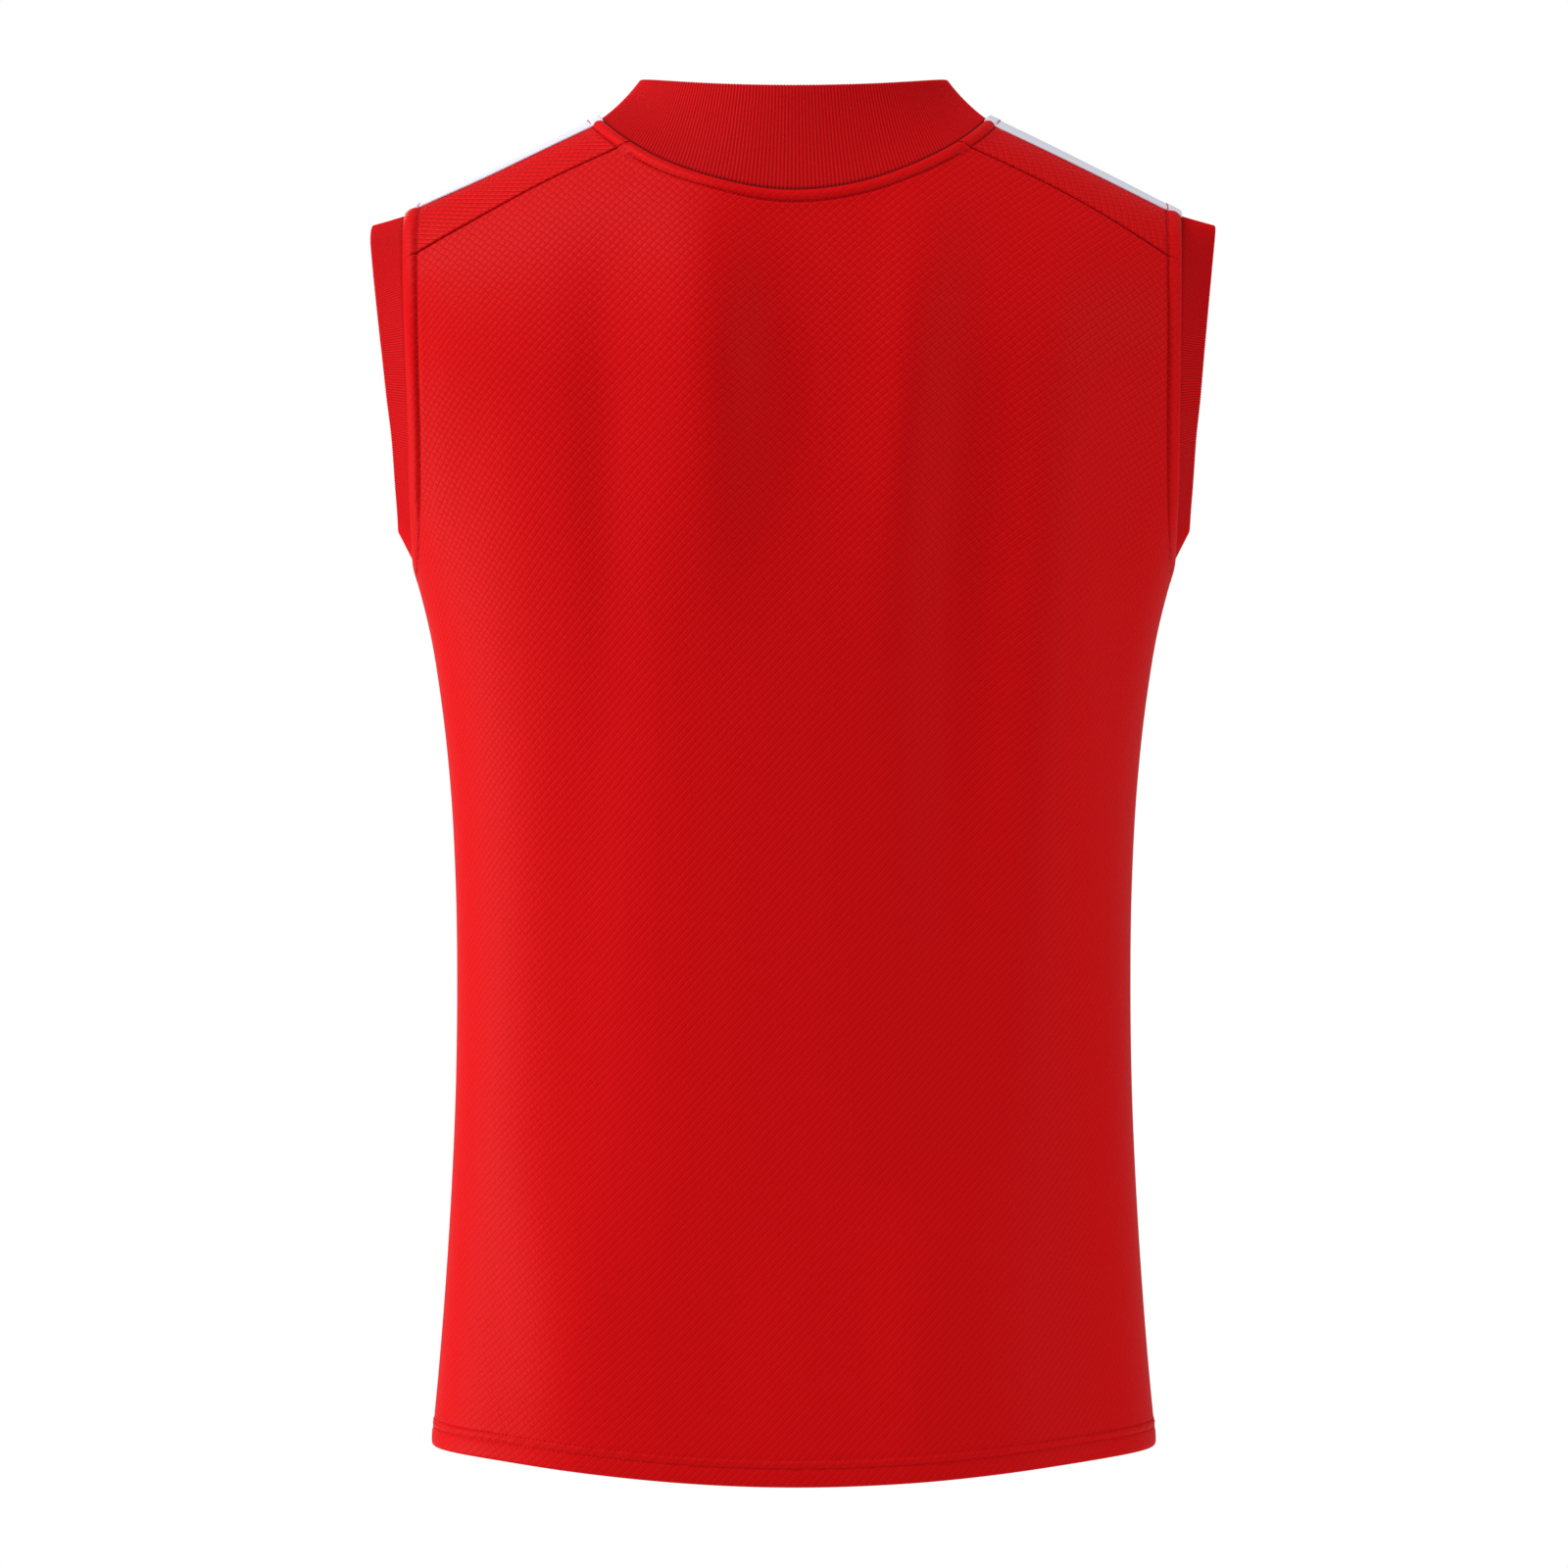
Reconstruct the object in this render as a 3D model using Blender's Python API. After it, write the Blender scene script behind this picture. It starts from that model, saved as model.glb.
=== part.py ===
"""Sleeveless training jersey, filled out as if worn, with nothing inside.

Axes: +Z up, the wearer faces -Y, the wearer's left is +X. The origin is the point between the
two side neck points, where the shoulders carry the garment. The functions work in millimetres,
and make_solid turns them into metres.

Every piece of cloth is a wall lofted through sections that are worked out from one hollow form:
level rings below the arms, and arches over the shoulders. The back, front and shoulder panels
are cut from that form. The collar and the armbands grow from the panels' neck and armhole edges.
"""

import math

import bpy
import numpy as np

# --- Driving sizes, in millimetres -------------------------------------------------------------
CLOTH = 1.5            # wall of the panels
TAPE = 1.0             # wall of the white shoulder bands
RIB_CLOTH = 1.9        # wall of the rib pieces, under the ribs
SEAM_GAP = 0.3         # distance between two pieces at a seam
ROUNDNESS = 2.4        # exponent of the level rings: 2 is an ellipse, more is squarer

NECK_HALF_WIDTH = 107.7
NECK_BACK_DROP = 48.7
NECK_FRONT_DROP = 81.0
NECK_BACK_POWER = 1.6
NECK_FRONT_POWER = 1.2
SIDE_NECK_HEIGHT = -0.6

SHOULDER_SLOPE = 0.535     # fall of the shoulder ridge for each millimetre outwards
SHOULDER_SOFTNESS = 60.0   # how gently the ridge line turns level towards the neck
SHOULDER_TIP = 212.0
ARCH_BACK = 170.0          # height over which the back falls from the ridge to full depth
ARCH_FRONT = 230.0
ARCH_TIP = 95.0            # the same at the shoulder tip

UNDERARM = -249.0          # lowest point of the armhole seam
HEM_SIDE = -735.0
HEM_BACK_DROP = 12.5       # the hem hangs lower at the centre back
HEM_FRONT_DROP = 5.0
HEM_POWER = 1.8            # how broadly it hangs there
HEM_TURN = 17.0            # height of the turned-up hem

YOKE_BACK_NECK = 89.0      # where the seams of the shoulder panel meet the neck seam
YOKE_FRONT_NECK = 97.0
YOKE_BACK_TIP = -86.3      # and how high they meet the armhole
YOKE_FRONT_TIP = -94.0
YOKE_BOW = 4.3

RIDGE_WIDTH = 7.0          # topstitched fold along the neck and armhole seams
RIDGE_EDGE = 0.5
RIDGE_CREST = 1.1

BAND_EDGE_NECK = 0.48      # white band's edges, as a share of the way to the shoulder seam
BAND_EDGE_TIP = 0.34

COLLAR_TOP_HALF_WIDTH = 85.8
COLLAR_TOP_CENTRE = -16.0
COLLAR_TOP_BACK = 80.0
COLLAR_TOP_FRONT = 57.0
COLLAR_TOP_SIDE_HEIGHT = 21.7
COLLAR_TOP_BACK_HEIGHT = 10.2
COLLAR_TOP_FRONT_HEIGHT = -39.0
COLLAR_FRONT_POWER = 1.4
COLLAR_RIBS = 320
COLLAR_FLARE = 0.4         # how far up the collar's wall the flare ends
COLLAR_BEND = (0.56, 0.56, 0.36)   # corner of the flare, as shares of the way in and up

ARMBAND_WIDTH = 20.5
ARMBAND_RIBS = 340
RIB_HEIGHT = 0.35

# Levels of the form: height, half width, depth behind and before the side seams.
FORM_COLUMNS = ("height", "half_width", "back", "front")
FORM_LEVELS = (
    (-770.0, 203.0, 106.0, 107.0),
    (-729.0, 200.0, 105.0, 106.0),
    (-696.0, 196.9, 104.0, 105.0),
    (-650.0, 193.2, 102.5, 104.0),
    (-598.0, 189.9, 101.0, 103.5),
    (-540.0, 187.4, 100.5, 103.5),
    (-484.0, 186.6, 101.0, 104.5),
    (-425.0, 187.4, 102.0, 107.0),
    (-370.0, 190.4, 103.5, 110.0),
    (-321.0, 195.8, 105.0, 113.5),
    (-288.0, 201.2, 106.0, 116.0),
    (-249.0, 211.0, 107.5, 117.5),
    (-200.0, 224.0, 109.0, 117.0),
    (-150.0, 234.0, 109.5, 113.0),
    (-100.0, 238.5, 108.0, 106.0),
    (-50.0, 240.0, 104.5, 99.0),
    (0.0, 240.0, 100.0, 92.0),
    (50.0, 240.0, 95.0, 86.0),
)
ARMHOLE_COLUMNS = ("height", "half_width")
ARMHOLE_LEVELS = (
    (-249.0, 211.0),
    (-225.0, 210.5),
    (-190.0, 210.4),
    (-150.0, 210.6),
    (-110.0, 211.3),
    (-75.0, 212.7),
    (-40.0, 214.8),
)
# Lean of the armband from straight out towards the armhole's middle, in degrees,
# against the angle round the armhole from its top.
ARMBAND_COLUMNS = ("angle", "lean")
ARMBAND_LEANS = (
    (0.0, 15.0),
    (30.0, 31.0),
    (70.0, 44.0),
    (103.0, 51.0),
    (120.0, 55.0),
    (146.0, 58.0),
    (160.0, 60.0),
    (180.0, 60.0),
)
# Soft folds: x and height where the crest starts and ends, half width, height of the crest, the
# share by which the flank towards +X is broader, and how far the line bends to +X on its way.
# A negative crest is a trough. Each rises quickly at its top and fades slowly to its foot.
FOLD_RISE = 0.7
FOLD_FADE = 1.9
FOLD_COLUMNS = ("x_top", "z_top", "x_foot", "z_foot", "half_width", "crest", "lean", "bow")
BACK_FOLDS = (
    (46.0, -40.0, 48.0, -330.0, 28.0, 7.4, 0.22, 0.0),
    (62.0, -190.0, 78.0, -520.0, 20.0, 2.0, 0.1, 0.0),
    (-13.0, -52.0, -4.0, -280.0, 28.0, -6.4, 0.0, 0.0),
    (-64.0, -36.0, -62.0, -340.0, 20.0, 5.2, -0.1, 0.0),
    (-90.0, -50.0, -76.0, -760.0, 24.0, -6.6, -0.1, 0.0),
    (-141.0, -55.0, -130.0, -770.0, 27.0, 8.0, 0.1, 0.0),
    (-182.0, -80.0, -178.0, -560.0, 18.0, -3.0, 0.0, 0.0),
    (112.0, -160.0, 118.0, -660.0, 24.0, -1.8, 0.0, 0.0),
    (2.0, -240.0, 0.0, -660.0, 30.0, 1.8, 0.0, 0.0),
    (168.0, -560.0, 160.0, -820.0, 22.0, -2.4, 0.0, 0.0),
    (120.0, -580.0, 124.0, -820.0, 24.0, 2.8, 0.0, 0.0),
    (34.0, -580.0, 30.0, -820.0, 34.0, -3.2, 0.0, 0.0),
    (-66.0, -580.0, -70.0, -820.0, 24.0, 3.4, 0.0, 0.0),
    (-118.0, -620.0, -124.0, -820.0, 24.0, -3.6, 0.0, 0.0),
)
FRONT_FOLDS = (
    (88.0, -110.0, 76.0, -430.0, 26.0, 4.4, 0.1, 0.0),
    (40.0, -130.0, 34.0, -400.0, 24.0, -3.8, 0.0, 0.0),
    (-30.0, -124.0, -22.0, -560.0, 26.0, 3.6, -0.1, 0.0),
    (-80.0, -90.0, -70.0, -480.0, 22.0, -4.0, 0.0, 0.0),
    (-120.0, -80.0, -110.0, -440.0, 24.0, 4.6, 0.1, 0.0),
    (146.0, -110.0, 132.0, -420.0, 22.0, -2.8, 0.0, -8.0),
    (56.0, -460.0, 64.0, -810.0, 34.0, 2.6, 0.0, 0.0),
    (-60.0, -530.0, -66.0, -820.0, 28.0, -2.4, 0.0, 0.0),
    (-124.0, -480.0, -132.0, -810.0, 28.0, 3.0, 0.0, 0.0),
    (124.0, -560.0, 128.0, -820.0, 26.0, -2.2, 0.0, 0.0),
)

# Rows and columns of the panels' grids.
ROWS_UNDER_TOP_EDGE = (0.0, 3.5, RIDGE_WIDTH)
SHARES_TO_CHEST = (0.16, 0.36, 0.58, 0.80, 1.0)
CHEST = -150.0
LEVELS_TO_UNDERARM = (-178.0, -204.0, -224.0, -237.0, -245.5, UNDERARM, -252.5, -256.0)
LEVELS_TO_HEM = (-276.0, -306.0, -346.0, -396.0, -450.0, -510.0, -570.0, -630.0, -680.0, -708.0)
ROWS_OVER_HEM = (HEM_TURN, 12.0, 6.0, 0.0)
HEM_RISE = (0.0, 0.5, 0.7, 0.3)    # the turned hem stands out on both faces of those rows
HEM_DEPTH = (0.0, 0.8, 0.9, 0.8)
COLUMNS_TO_CORNER = 5
COLUMNS_TO_RIDGE = 6
COLUMNS_IN_RIDGE = (3.5, 0.0)
STEADY_LEVELS = (-346.0, -204.0)   # between them the columns run on past the armhole's turn
FINE = 500                 # samples of a section while its columns are spaced
SETTLING = 40              # rounds in which an edge point finds its height
SLOPE_STEP = 0.02          # reach over which a slope of the form is measured
SHORTEST_MITRE = 0.4       # keeps a sharp corner's mitre from running far out
SHARP_EDGE = math.radians(50)
METRES = 0.001             # one millimetre

RED = (0.58, 0.006, 0.009, 1.0)
RIB_RED = (0.50, 0.006, 0.010, 1.0)
WHITE = (0.80, 0.80, 0.90, 1.0)
RED_ROUGHNESS = 0.62
RIB_ROUGHNESS = 0.70
WHITE_ROUGHNESS = 0.55
BACK = 1
FRONT = -1


# --- Tables and curves --------------------------------------------------------------------------
def column(table, names, name):
    """One named column of a table."""
    return np.array([row[names.index(name)] for row in table], float)


def curve_through(knots, values, at):
    """Smooth curve through a table's values, with the neighbours' mean slope at each knot."""
    slopes = np.gradient(values, knots)
    at = np.clip(at, knots[0], knots[-1])
    i = np.clip(np.searchsorted(knots, at, side="right") - 1, 0, len(knots) - 2)
    span = knots[i + 1] - knots[i]
    t = (at - knots[i]) / span
    start = (2 * t**3 - 3 * t**2 + 1) * values[i] + (t**3 - 2 * t**2 + t) * span * slopes[i]
    end = (3 * t**2 - 2 * t**3) * values[i + 1] + (t**3 - t**2) * span * slopes[i + 1]
    return start + end


def form_level(z, name):
    """A size of the form at height z."""
    heights = column(FORM_LEVELS, FORM_COLUMNS, "height")
    return curve_through(heights, column(FORM_LEVELS, FORM_COLUMNS, name), z)


def armhole_half_width(z):
    """Distance of the armhole seam from the middle at height z."""
    heights = column(ARMHOLE_LEVELS, ARMHOLE_COLUMNS, "height")
    return curve_through(heights, column(ARMHOLE_LEVELS, ARMHOLE_COLUMNS, "half_width"), z)


def unit(vectors):
    """The vectors at length 1."""
    return vectors / np.maximum(np.linalg.norm(vectors, axis=-1, keepdims=True), 1e-12)


# --- The form -----------------------------------------------------------------------------------
def ridge_height(x):
    """Height of the shoulder ridge: a line that falls outwards and turns level at the neck."""
    reach = np.hypot(x, SHOULDER_SOFTNESS) - math.hypot(NECK_HALF_WIDTH, SHOULDER_SOFTNESS)
    return SIDE_NECK_HEIGHT - SHOULDER_SLOPE * reach


def arch_height(x, side):
    """Height over which the arch at x falls from the ridge to its full depth."""
    middle = ARCH_BACK if side == BACK else ARCH_FRONT
    return middle + (ARCH_TIP - middle) * (x / SHOULDER_TIP) ** 2


def full_depth(x, z, side):
    """Depth of the level ring at x: a squarish oval."""
    share = np.clip(1 - (np.abs(x) / form_level(z, "half_width")) ** ROUNDNESS, 0, None)
    return form_level(z, "back" if side == BACK else "front") * share ** (1 / ROUNDNESS)


def form_y(x, z, side):
    """Depth of the form at x and z: the ring's depth, drawn in towards the ridge as an arch."""
    fall = np.clip((ridge_height(x) - z) / arch_height(x, side), 0, 1)
    return side * full_depth(x, z, side) * np.sqrt(fall * (2 - fall))


def form_point(x, z, side):
    """Points of the form."""
    return np.stack(np.broadcast_arrays(x, form_y(x, z, side), z), axis=-1)


def form_normal(points, side):
    """Outward normals: the gradient of the arch near the ridge and of the ring below it."""
    x, y, z = np.moveaxis(points, -1, 0)
    on_arch = ridge_height(x) - z < arch_height(x, side)
    depth_name = "back" if side == BACK else "front"

    def arch(x, y, z):
        rest = 1 - (ridge_height(x) - z) / arch_height(x, side)
        return (y / np.maximum(full_depth(x, z, side), 1e-6)) ** 2 + rest**2

    def ring(x, y, z):
        width = np.abs(x) / form_level(z, "half_width")
        depth = np.abs(y) / form_level(z, depth_name)
        return width**ROUNDNESS + depth**ROUNDNESS

    step = SLOPE_STEP
    normals = []
    for value in (arch, ring):
        slopes = [
            value(x + step, y, z) - value(x - step, y, z),
            value(x, y + step, z) - value(x, y - step, z),
            value(x, y, z + step) - value(x, y, z - step),
        ]
        normals.append(unit(np.stack(slopes, axis=-1)))
    return np.where(on_arch[..., None], normals[0], normals[1])


def fold_height(points, side):
    """Sum of the soft folds: each a bell across its line, faded in and out along it."""
    folds = BACK_FOLDS if side == BACK else FRONT_FOLDS
    x, z = points[..., 0], points[..., 2]
    height = np.zeros_like(x)
    for fold in folds:
        size = dict(zip(FOLD_COLUMNS, fold))
        along = np.clip((size["z_top"] - z) / (size["z_top"] - size["z_foot"]), 0, 1)
        line = size["x_top"] + (size["x_foot"] - size["x_top"]) * along
        line += size["bow"] * 4 * along * (1 - along)
        flank = size["half_width"] * np.where(x > line, 1 + size["lean"], 1 - size["lean"])
        fade = np.sin(math.pi * along**FOLD_RISE) ** FOLD_FADE
        height += size["crest"] * fade * np.exp(-(((x - line) / flank) ** 2))
    return height


# --- Seam lines ---------------------------------------------------------------------------------
def neck_height(x, side):
    """Height of the neck seam at x."""
    drop = NECK_BACK_DROP if side == BACK else NECK_FRONT_DROP
    power = NECK_BACK_POWER if side == BACK else NECK_FRONT_POWER
    cosine = np.sqrt(np.clip(1 - (x / NECK_HALF_WIDTH) ** 2, 0, 1))
    return SIDE_NECK_HEIGHT - drop * cosine**power


def yoke_height(x, side):
    """Height of the shoulder panel's seam at x: a line from neck to armhole with a slight bow."""
    start = YOKE_BACK_NECK if side == BACK else YOKE_FRONT_NECK
    tip = YOKE_BACK_TIP if side == BACK else YOKE_FRONT_TIP
    share = (np.abs(x) - start) / (SHOULDER_TIP - start)
    line = neck_height(start, side) * (1 - share) + tip * share
    return line + YOKE_BOW * np.sin(math.pi * np.clip(share, 0, 1))


def top_edge(x, side):
    """Top edge of the back or front panel: the neck seam, then the shoulder panel's seam."""
    corner = YOKE_BACK_NECK if side == BACK else YOKE_FRONT_NECK
    return np.where(np.abs(x) <= corner, neck_height(x, side), yoke_height(x, side))


def hem_height(x, side):
    """Height of the hem, which hangs lower in the middle."""
    drop = HEM_BACK_DROP if side == BACK else HEM_FRONT_DROP
    share = np.clip(1 - (x / form_level(HEM_SIDE, "half_width")) ** 2, 0, 1)
    return HEM_SIDE - drop * share**HEM_POWER


def row_heights(side):
    """One function of x for each row of a panel, from its top edge to its hem."""
    rows = [lambda x, d=d: top_edge(x, side) - d for d in ROWS_UNDER_TOP_EDGE]
    rows += [
        lambda x, s=s: (1 - s) * (top_edge(x, side) - RIDGE_WIDTH) + s * CHEST
        for s in SHARES_TO_CHEST
    ]
    rows += [lambda x, z=z: z + 0 * x for z in LEVELS_TO_UNDERARM + LEVELS_TO_HEM]
    rows += [lambda x, d=d: hem_height(x, side) + d for d in ROWS_OVER_HEM]
    return rows


UNDERARM_ROW = (
    len(ROWS_UNDER_TOP_EDGE) + len(SHARES_TO_CHEST) + LEVELS_TO_UNDERARM.index(UNDERARM)
)


# --- Grids of the panels ------------------------------------------------------------------------
def half_section(height, side):
    """Half a row, from the middle to its side edge, with the length along it."""
    edge = SHOULDER_TIP
    for _ in range(SETTLING):
        z = float(height(np.array(edge)))
        edge = float(armhole_half_width(z) if z > UNDERARM else form_level(z, "half_width"))
    x = edge * np.sin(np.linspace(0, math.pi / 2, FINE))
    points = form_point(x, height(x), side)
    steps = np.linalg.norm(np.diff(points, axis=0), axis=1)
    return x, np.concatenate([[0], np.cumsum(steps)])


def panel_grid(side):
    """Rows by columns of the back or front panel. One column runs through the neck corner."""
    corner = YOKE_BACK_NECK if side == BACK else YOKE_FRONT_NECK
    rows = row_heights(side)
    x, length = half_section(rows[0], side)
    corner_share = np.interp(corner, x, length) / (length[-1] - RIDGE_WIDTH)
    shares = np.concatenate([
        np.linspace(0, corner_share, COLUMNS_TO_CORNER + 1),
        np.linspace(corner_share, 1, COLUMNS_TO_RIDGE + 1)[1:],
    ])
    sections = [half_section(height, side) for height in rows]
    levels = np.array([float(height(x[-1])) for height, (x, _) in zip(rows, sections)])
    reaches = np.array([length[-1] - RIDGE_WIDTH for _, length in sections])
    turning = (levels > STEADY_LEVELS[0]) & (levels < STEADY_LEVELS[1])
    reaches[turning] = np.interp(levels[turning], levels[~turning][::-1], reaches[~turning][::-1])
    grid = []
    for height, reach, (x, length) in zip(rows, reaches, sections):
        stops = np.concatenate([shares * reach, length[-1] - np.array(COLUMNS_IN_RIDGE)])
        half = np.interp(stops, length, x)
        full = np.concatenate([-half[:0:-1], half])
        grid.append(form_point(full, height(full), side))
    return np.array(grid)


def arch_share(x, z, side):
    """How far round the arch a point lies: 0 on the ridge, 1 on the shoulder panel's seam."""
    angle = np.arccos(np.clip(1 - (ridge_height(x) - z) / arch_height(x, side), -1, 1))
    seam = np.arccos(1 - (ridge_height(x) - yoke_height(x, side)) / arch_height(x, side))
    return angle / seam


def arch_z(x, share, side):
    """Height of the point that lies that share of the way round the arch."""
    seam = np.arccos(1 - (ridge_height(x) - yoke_height(x, side)) / arch_height(x, side))
    return ridge_height(x) - arch_height(x, side) * (1 - np.cos(share * seam))


def neck_x_at_share(share, side):
    """Where the neck seam crosses that share of the arch."""
    start = YOKE_BACK_NECK if side == BACK else YOKE_FRONT_NECK
    angles = np.linspace(math.asin(start / NECK_HALF_WIDTH), math.pi / 2, FINE)
    x = NECK_HALF_WIDTH * np.sin(angles)
    shares = arch_share(x, neck_height(x, side), side)
    order = np.argsort(shares)
    return np.interp(share, shares[order], x[order])


def armhole_x_at_share(share, side):
    """Where the armhole seam crosses that share of the arch."""
    x = np.full_like(share, SHOULDER_TIP)
    for _ in range(SETTLING):
        x = armhole_half_width(arch_z(x, share, side))
    return x


def shoulder_half(side, seam_x):
    """Stations by rows of half a shoulder panel, from the ridge to its seam with side."""
    neck_seam = neck_x_at_share(np.array(1.0), side)
    tip_seam = armhole_x_at_share(np.array(1.0), side)
    across = (seam_x - neck_seam) / (tip_seam - neck_seam)
    across[0], across[-1] = 0.0, 1.0
    edge = BAND_EDGE_NECK + (BAND_EDGE_TIP - BAND_EDGE_NECK) * across**2
    rows = np.stack([0 * edge, edge / 2, edge, (1 + edge) / 2, 1 + 0 * edge], axis=1)
    x = (1 - across)[:, None] * neck_x_at_share(rows, side)
    x += across[:, None] * armhole_x_at_share(rows, side)
    return form_point(x, arch_z(x, rows, side), side)


BAND_ROWS = slice(2, 7)    # rows of the shoulder panel that lie under its white band


def shoulder_grid(back, front):
    """Stations by rows of the left shoulder panel, from its front seam over to its back seam."""
    first = COLUMNS_TO_CORNER
    middle = back.shape[1] // 2
    halves = []
    for side, panel in ((FRONT, front), (BACK, back)):
        halves.append(shoulder_half(side, panel[0, middle + first:, 0]))
    ridge = (halves[0][:, :1] + halves[1][:, :1]) / 2
    ridge[..., 1] = 0.0
    ridge[..., 2] = ridge_height(ridge[..., 0])
    return np.concatenate([halves[0][:, :0:-1], ridge, halves[1][:, 1:]], axis=1)


# --- Relief of the panels -----------------------------------------------------------------------
def distance_to_line(points, line):
    """Distance of each point from an open or closed run of straight pieces."""
    best = np.full(points.shape[:-1], np.inf)
    for a, b in zip(line[:-1], line[1:]):
        run = b - a
        share = np.clip(((points - a) @ run) / max(run @ run, 1e-12), 0, 1)
        gap = np.linalg.norm(points - a - share[..., None] * run, axis=-1)
        best = np.minimum(best, gap)
    return best


def ridge_relief(distance):
    """Height of the topstitched fold at that distance from the seam."""
    stops = (0.0, RIDGE_WIDTH / 2, RIDGE_WIDTH)
    return np.interp(distance, stops, (RIDGE_EDGE, RIDGE_CREST, 0.0))


def mirror(points):
    """The same points on the other side of the body."""
    return points * np.array([-1.0, 1.0, 1.0])


# --- Solids -------------------------------------------------------------------------------------
def moved_sideways(loop, normals, amount):
    """The closed loop moved sideways in its surface by amount, mitred where it turns."""
    before, after = loop - np.roll(loop, 1, axis=0), np.roll(loop, -1, axis=0) - loop
    left, right = unit(np.cross(normals, unit(before))), unit(np.cross(normals, unit(after)))
    spread = 1 + np.sum(left * right, axis=-1, keepdims=True)
    return loop + amount * (left + right) / np.maximum(spread, SHORTEST_MITRE)


def grid_rim(shape):
    """Indices of a grid's border, once round."""
    rows, columns = shape
    index = np.arange(rows * columns).reshape(rows, columns)
    return np.concatenate([
        index[0, :-1], index[:-1, -1], index[-1, :0:-1], index[:0:-1, 0],
    ])


def inset_rim(grid, normals):
    """The grid with its border drawn in by half the seam gap."""
    rim = grid_rim(grid.shape[:2])
    points, flat_normals = grid.reshape(-1, 3).copy(), normals.reshape(-1, 3)
    across = np.cross(grid[0, 1] - grid[0, 0], grid[1, 0] - grid[0, 0])
    turn = -1.0 if across @ normals[0, 0] < 0 else 1.0
    points[rim] = moved_sideways(points[rim], flat_normals[rim], turn * SEAM_GAP / 2)
    return points.reshape(grid.shape)


def wall_faces(shape):
    """Faces of a wall between two grids of that shape: outside, inside and rim."""
    rows, columns = shape
    index = np.arange(rows * columns).reshape(rows, columns)
    quads = np.stack(
        [index[:-1, :-1], index[:-1, 1:], index[1:, 1:], index[1:, :-1]], axis=-1
    ).reshape(-1, 4)
    rim = grid_rim(shape)
    after = np.roll(rim, -1)
    below = rows * columns
    sides = np.stack([rim, rim + below, after + below, after], axis=-1)
    return np.concatenate([quads, quads[:, ::-1] + below, sides])


def make_solid(name, points, faces, material, collection):
    """A closed mesh object from points in millimetres, with its faces turned outwards."""
    mesh = bpy.data.meshes.new(name)
    mesh.from_pydata((points * METRES).tolist(), [], [list(map(int, f)) for f in faces])
    corners = points[np.array([f[:3] for f in faces])]
    volume = np.einsum("ij,ij->i", corners[:, 0], np.cross(corners[:, 1], corners[:, 2])).sum()
    if volume < 0:
        mesh.flip_normals()
    mesh.shade_smooth()
    mesh.set_sharp_from_angle(angle=SHARP_EDGE)
    mesh.materials.append(material)
    solid = bpy.data.objects.new(name, mesh)
    collection.objects.link(solid)
    return solid


def make_wall(name, outer, inner, material, collection):
    """A wall of cloth between two grids of the same shape."""
    points = np.concatenate([outer.reshape(-1, 3), inner.reshape(-1, 3)])
    return make_solid(name, points, wall_faces(outer.shape[:2]), material, collection)


def make_panel(name, grid, normals, seams, material, collection):
    """A body panel: the ridges stand on its outside, and the turned hem thickens it."""
    base = inset_rim(grid, normals)
    relief = ridge_relief(np.minimum.reduce([distance_to_line(grid, seam) for seam in seams]))
    depth = np.full(grid.shape[:2], CLOTH)
    relief[-len(HEM_RISE):] += np.array(HEM_RISE)[:, None]
    depth[-len(HEM_DEPTH):] += np.array(HEM_DEPTH)[:, None]
    outer = base + relief[..., None] * normals
    inner = base - depth[..., None] * normals
    return make_wall(name, outer, inner, material, collection)


def shoulder_normals(grid):
    """Normals of a left shoulder panel: front half, ridge and back half."""
    front = form_normal(grid, FRONT)
    back = form_normal(grid, BACK)
    return unit(np.where(grid[..., 1:2] < 0, front, back))


def make_shoulder(side_name, grid, normals, seams, materials, collection):
    """A shoulder panel, and the white band that lies on its outside."""
    relief = ridge_relief(np.minimum.reduce([distance_to_line(grid, seam) for seam in seams]))
    base = inset_rim(grid, normals)
    outer = base + relief[..., None] * normals
    inner = base - CLOTH * normals
    make_wall(f"shoulder_panel_{side_name}", outer, inner, materials["red"], collection)

    under = outer[:, BAND_ROWS]
    lift = normals[:, BAND_ROWS]
    make_wall(
        f"shoulder_band_{side_name}",
        under + (SEAM_GAP + TAPE) * lift,
        under + SEAM_GAP * lift,
        materials["white"],
        collection,
    )


def rib_counts(loop, ribs):
    """How many half ribs each straight piece of a closed loop carries: an even sum."""
    lengths = np.linalg.norm(np.roll(loop, -1, axis=0) - loop, axis=1)
    wanted = 2 * ribs * lengths / lengths.sum()
    counts = np.maximum(np.round(wanted).astype(int), 1)
    counts[np.argmax(lengths)] += 2 * ribs - counts.sum()
    return counts


def between(loop, counts, smooth):
    """Points between the stations of a closed loop, on straight or smoothly curved pieces."""
    after, before = np.roll(loop, -1, axis=0), np.roll(loop, 1, axis=0)
    length = np.linalg.norm(after - loop, axis=1)[:, None]
    length_before = np.roll(length, 1, axis=0)
    slope = (after - loop) / length * length_before + (loop - before) / length_before * length
    slope /= length + length_before
    runs = []
    for i, count in enumerate(counts):
        j = (i + 1) % len(loop)
        t = (np.arange(count) / count)[:, None]
        if smooth:
            run = (2 * t**3 - 3 * t**2 + 1) * loop[i] + (3 * t**2 - 2 * t**3) * loop[j]
            run = run + length[i] * ((t**3 - 2 * t**2 + t) * slope[i] + (t**3 - t**2) * slope[j])
        else:
            run = (1 - t) * loop[i] + t * loop[j]
        runs.append(run)
    return np.concatenate(runs)


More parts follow.
